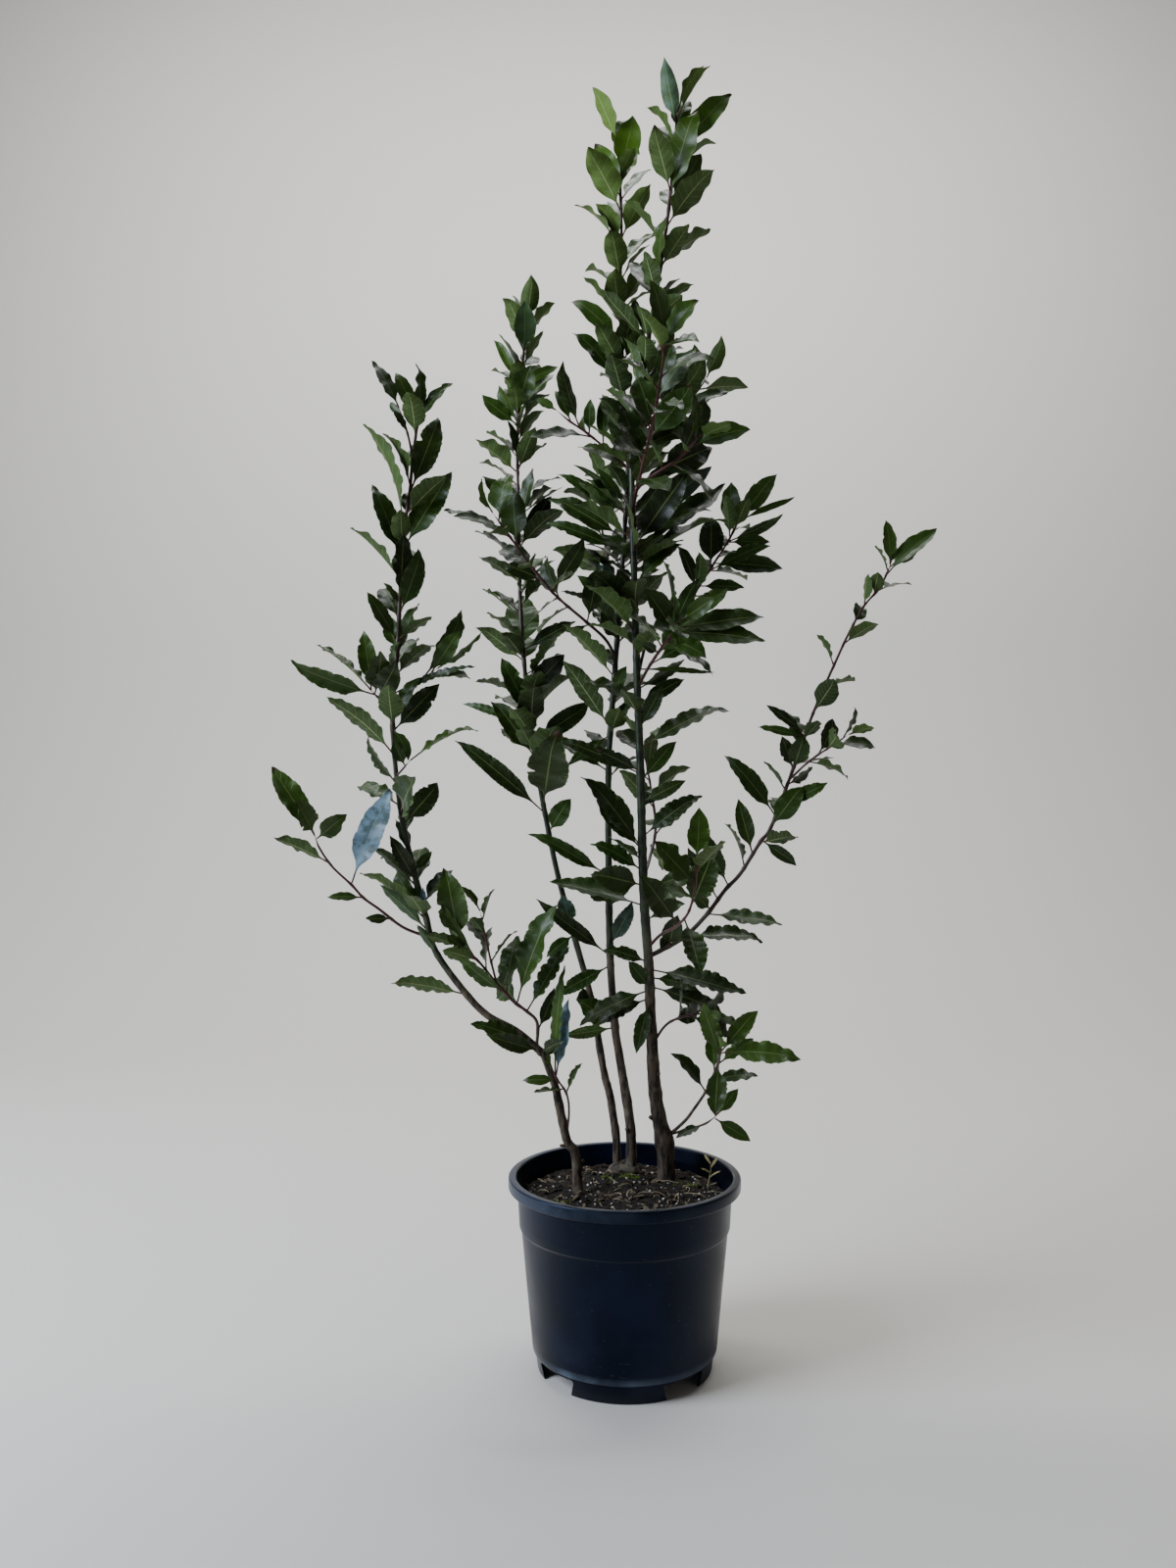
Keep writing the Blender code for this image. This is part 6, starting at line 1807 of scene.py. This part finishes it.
            def place(turn: float, along: float) -> Vector:
                angle = heading + bend * (along - 0.5)
                px = x + math.cos(angle) * length * (along - 0.5)
                py = y + math.sin(angle) * length * (along - 0.5)
                lift = 0.0012 + 0.0018 * math.sin(math.pi * along) + 0.0005
                reach = radius if 0.01 < along < 0.99 else 0.0
                swing = turn * math.tau
                return Vector((px - math.sin(angle) * reach * math.cos(swing),
                               py + math.cos(angle) * reach * math.cos(swing),
                               self.height(px, py) + lift + reach * math.sin(swing)))

            corners = wrapped(shape, 5, 7, place)
            bmesh.ops.remove_doubles(shape, verts=corners, dist=MERGE)
            self.mark(shape, first, 0 if draw.random() < 0.6 else 1)
        finished("root_fibres", shape, finishes, ())

    def moss(self, finish: bpy.types.Material) -> None:
        """Build small cushions of moss by the trunks and near the pot's wall."""
        draw = random.Random(self.seed + 3)
        shape = bmesh.new()
        for middle_x, middle_y, spread, count in self.cushions:
            for _ in range(count):
                x = middle_x + draw.gauss(0.0, spread)
                y = middle_y + draw.gauss(0.0, spread * 0.8)
                if math.hypot(x, y) > self.moss_reach:
                    continue
                height = draw.uniform(0.0018, 0.0042)
                turns = (draw.gauss(0, 0.35), draw.gauss(0, 0.35))
                lean = Matrix.Rotation(turns[0], 4, "X") @ Matrix.Rotation(turns[1], 4, "Y")
                place = Matrix.Translation((x, y, self.fine_height(x, y) + height * 0.4)) @ lean
                bmesh.ops.create_cone(shape, cap_ends=True, segments=5, radius1=0.0009, radius2=0.0002,
                                      depth=height, matrix=place)
        finished("moss_cushions", shape, [finish], ())


@dataclass
class Studio:
    """A plain pale floor that sweeps up behind, soft light from the left and the photograph's camera."""

    floor: str = "#d9d6cf"
    camera_pitch_deg: float = 90.93
    lens_mm: float = 27.83
    sensor_mm: float = 36.0
    near_y: float = -4.0
    sweep_y: float = 1.6
    sweep_radius: float = 1.2
    sweep_steps: int = 12
    wall_top_z: float = 5.0
    half_width: float = 5.0
    floor_drop: float = 0.0005
    world_colour: str = "#eef1f5"
    world_strength: float = 0.09
    lamps: tuple[tuple, ...] = (
        ("window_left", (-2.2, -0.9, 1.7), (0.0, 0.0, 0.75), (1.3, 1.8), 105.0, "#e4edff"),
        ("fill_right", (2.4, -1.8, 1.2), (0.0, 0.0, 0.6), (2.0, 2.0), 4.0, "#fff1e0"),
        ("sky_above", (0.0, 0.6, 3.2), (0.0, 0.0, 0.5), (2.4, 2.4), 16.0, "#f4f8ff"),
        ("wash_behind", (0.0, 1.0, 3.4), (0.0, 2.6, 0.6), (3.6, 0.5), 95.0, "#ffffff"))

    def backdrop(self) -> None:
        """Build the floor and its sweep from one extruded line."""
        shape = bmesh.new()
        line = [(self.near_y, 0.0), (self.sweep_y, 0.0)]
        for step in range(1, self.sweep_steps + 1):
            angle = math.radians(90.0 * step / self.sweep_steps)
            line.append((self.sweep_y + self.sweep_radius * math.sin(angle),
                         self.sweep_radius * (1.0 - math.cos(angle))))
        line.append((self.sweep_y + self.sweep_radius, self.wall_top_z))
        corners = [shape.verts.new((-self.half_width, y, z - self.floor_drop)) for y, z in line]
        edges = [shape.edges.new(pair) for pair in zip(corners, corners[1:])]
        grown = bmesh.ops.extrude_edge_only(shape, edges=edges)["geom"]
        bmesh.ops.translate(shape, vec=(2 * self.half_width, 0.0, 0.0),
                            verts=[item for item in grown if isinstance(item, bmesh.types.BMVert)])
        bmesh.ops.recalc_face_normals(shape, faces=shape.faces)
        if sum(face.normal.z for face in shape.faces) < 0:
            bmesh.ops.reverse_faces(shape, faces=shape.faces)
        floor = meshed("pale_floor", shape)
        floor.data.shade_smooth()
        plaster = new_material("painted_plaster_matte", {"Base Color": self.floor, "Roughness": 0.85})[0]
        floor.data.materials.append(plaster)

    def lamp(self, name: str, place: tuple[float, float, float], aim: tuple[float, float, float],
             size: tuple[float, float], watts: float, colour: str) -> None:
        """Add a soft rectangular light that looks at a point."""
        data = bpy.data.lights.new(name, "AREA")
        data.shape = "RECTANGLE"
        data.size, data.size_y = size
        data.energy = watts
        data.color = to_linear(colour)[:3]
        lamp = linked(name, data)
        lamp.location = place
        lamp.rotation_euler = (Vector(aim) - Vector(place)).to_track_quat("-Z", "Y").to_euler()

    def build(self) -> None:
        """Set up the camera, the lights, the world and the floor."""
        data = bpy.data.cameras.new("camera")
        data.sensor_fit = "VERTICAL"
        data.sensor_height = self.sensor_mm
        data.lens = self.lens_mm
        camera = linked("camera", data)
        camera.location = EYE
        camera.rotation_euler = (math.radians(self.camera_pitch_deg), 0.0, 0.0)
        bpy.context.scene.camera = camera
        self.backdrop()
        for lamp in self.lamps:
            self.lamp(*lamp)
        world = bpy.data.worlds.new("soft_room")
        world.use_nodes = True
        inputs = world.node_tree.nodes["Background"].inputs
        inputs["Color"].default_value = to_linear(self.world_colour)
        inputs["Strength"].default_value = self.world_strength
        bpy.context.scene.world = world


@dataclass
class BayLaurel:
    """The whole plant: trunks, leafy stems, sprays and their leaves."""

    shoots: LeafyShoots = field(default_factory=LeafyShoots)
    trunks: WoodyTrunks = field(default_factory=WoodyTrunks)
    # Where up a stem the leaves grow lighter from young growth and painted back-light: start and span
    young_and_backlit_top: tuple[float, float] = (0.72, 0.28)
    leaf_seed: int = 500
    weed_seed: int = 12
    main_start: float = 0.0004
    twig_start: float = -0.0005
    redness: float = 0.9

    def finishes(self) -> list[bpy.types.Material]:
        """Build the finishes of a leafy piece, in the order of its face numbers."""
        upper = LeafFinish("laurel_leaf_waxed_upper", deep="#081403", fresh="#1e370d", young="#4a6c16",
                           rib="#76864f", rib_share=0.62, vein_share=0.10, margin="#5f7040", stalk="#45201f")
        under = LeafFinish("laurel_leaf_matte_under", deep="#223416", fresh="#3a5225", young="#5a762e",
                           rib="#8f9c68", rib_share=0.85, vein_share=0.35, margin="#74844f",
                           stalk="#5a2c28", roughness=0.55, coat=0.0, relief_mm=0.45)
        return [BarkFinish().material(), upper.material(), under.material()]

    def youth_and_backlight(self, stem: Stem, blade: Blade, draw: random.Random) -> float:
        """Return how light a leaf's green is from young growth and painted back-light: more near the tip of
        the upper stems.
        """
        share = (blade.root - stem.point(0.0)).length / stem.length
        # Strength per stem of the lighter green, young growth and painted back-light
        fresh = {"stem_centre_right": 0.95, "stem_right": 0.45, "stem_centre_left": 0.40}
        base = fresh.get(stem.shoot.name, 0.25)
        return min(1.0, beyond(share, *self.young_and_backlit_top) * base + draw.uniform(0.0, 0.14))

    def build(self, grower: Grower) -> None:
        """Build every trunk, stem, spray and leaf.

        Args:
            grower: the stems and blades of the plant.
        """
        finishes = self.finishes()
        self.trunks.build(grower.stems, finishes[Face.BARK.value])
        mains = {shoot.name for shoot in MAIN_STEMS}
        for number, (node, shoots) in enumerate(by_node(MAIN_STEMS + TWIGS + SPRAYS).items()):
            draw = random.Random(self.leaf_seed + number)
            shape = self.shoots.start()
            for shoot in shoots:
                stem = grower.stems[shoot.name]
                blades = grower.blades[shoot.name]
                marks = [(step * MM, stem.point(step * MM)) for step in range(int(stem.length * 1000))]
                roots = [min(marks, key=lambda mark: (mark[1] - blade.root).length_squared)[0]
                         for blade in blades]
                start = self.main_start if shoot.name in mains else self.twig_start
                self.shoots.add_stem(shape, stem, roots, start, stem.length, self.redness)
                for blade in blades:
                    self.shoots.add_leaf(shape, blade, self.youth_and_backlight(stem, blade, draw), draw)
            finished(f"{node}_foliage", shape, finishes, node, 60.0)

    def weed(self, grower: Grower) -> None:
        """Build the dry weed seedling that stands in the soil."""
        straw = CrumbFinish("dry_grass_bleached", dark="#5f5a36", light="#a89f70", speck_mm=3.0,
                            roughness=0.8)
        shape = self.shoots.start()
        stem = grower.stems[SEEDLING.name]
        draw = random.Random(self.weed_seed)
        self.shoots.add_stem(shape, stem, [], 0.0, stem.length, 0.0)
        for blade in grower.blades[SEEDLING.name]:
            self.shoots.add_leaf(shape, replace(blade, width=blade.width * 0.5), 0.0, draw)
        for face in shape.faces:
            face.material_index = 0
        finished("dry_weed", shape, [straw.material()], SEEDLING.node)


def main() -> None:
    """Build the pot, the soil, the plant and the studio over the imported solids."""
    logging.basicConfig(level=logging.INFO, format="%(message)s")
    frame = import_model()
    LOG.info("solids: %d", len(frame["nodes"]))
    Studio().build()
    NurseryPot().build(PlasticFinish().material())
    soil = PottingMix()
    dark_bark = CrumbFinish("pine_bark_weathered", dark="#0d0907", light="#2a2018", speck_mm=4.0)
    pale_bark = CrumbFinish("pine_bark_split", dark="#2a2119", light="#756a56", speck_mm=3.0)
    soil.surface(CrumbFinish("peat_mix_damp", dark="#060403", light="#1a130e", speck_mm=1.8).material())
    soil.chips([dark_bark.material(), pale_bark.material()])
    soil.perlite(CrumbFinish("perlite_expanded", dark="#a9a69c", light="#dedcd4", speck_mm=1.2).material())
    soil.fibres([CrumbFinish("root_hair_dry", dark="#2f2418", light="#5e4d37", speck_mm=2.0).material(),
                 CrumbFinish("straw_bleached", dark="#8f8264", light="#c2b795", speck_mm=2.0).material()])
    soil.moss(CrumbFinish("moss_living", dark="#2c3d12", light="#6f8a2b", speck_mm=1.0).material())
    grower = grow_plant()
    plant = BayLaurel()
    plant.build(grower)
    plant.weed(grower)
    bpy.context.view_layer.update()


if __name__ == "__main__":
    main()
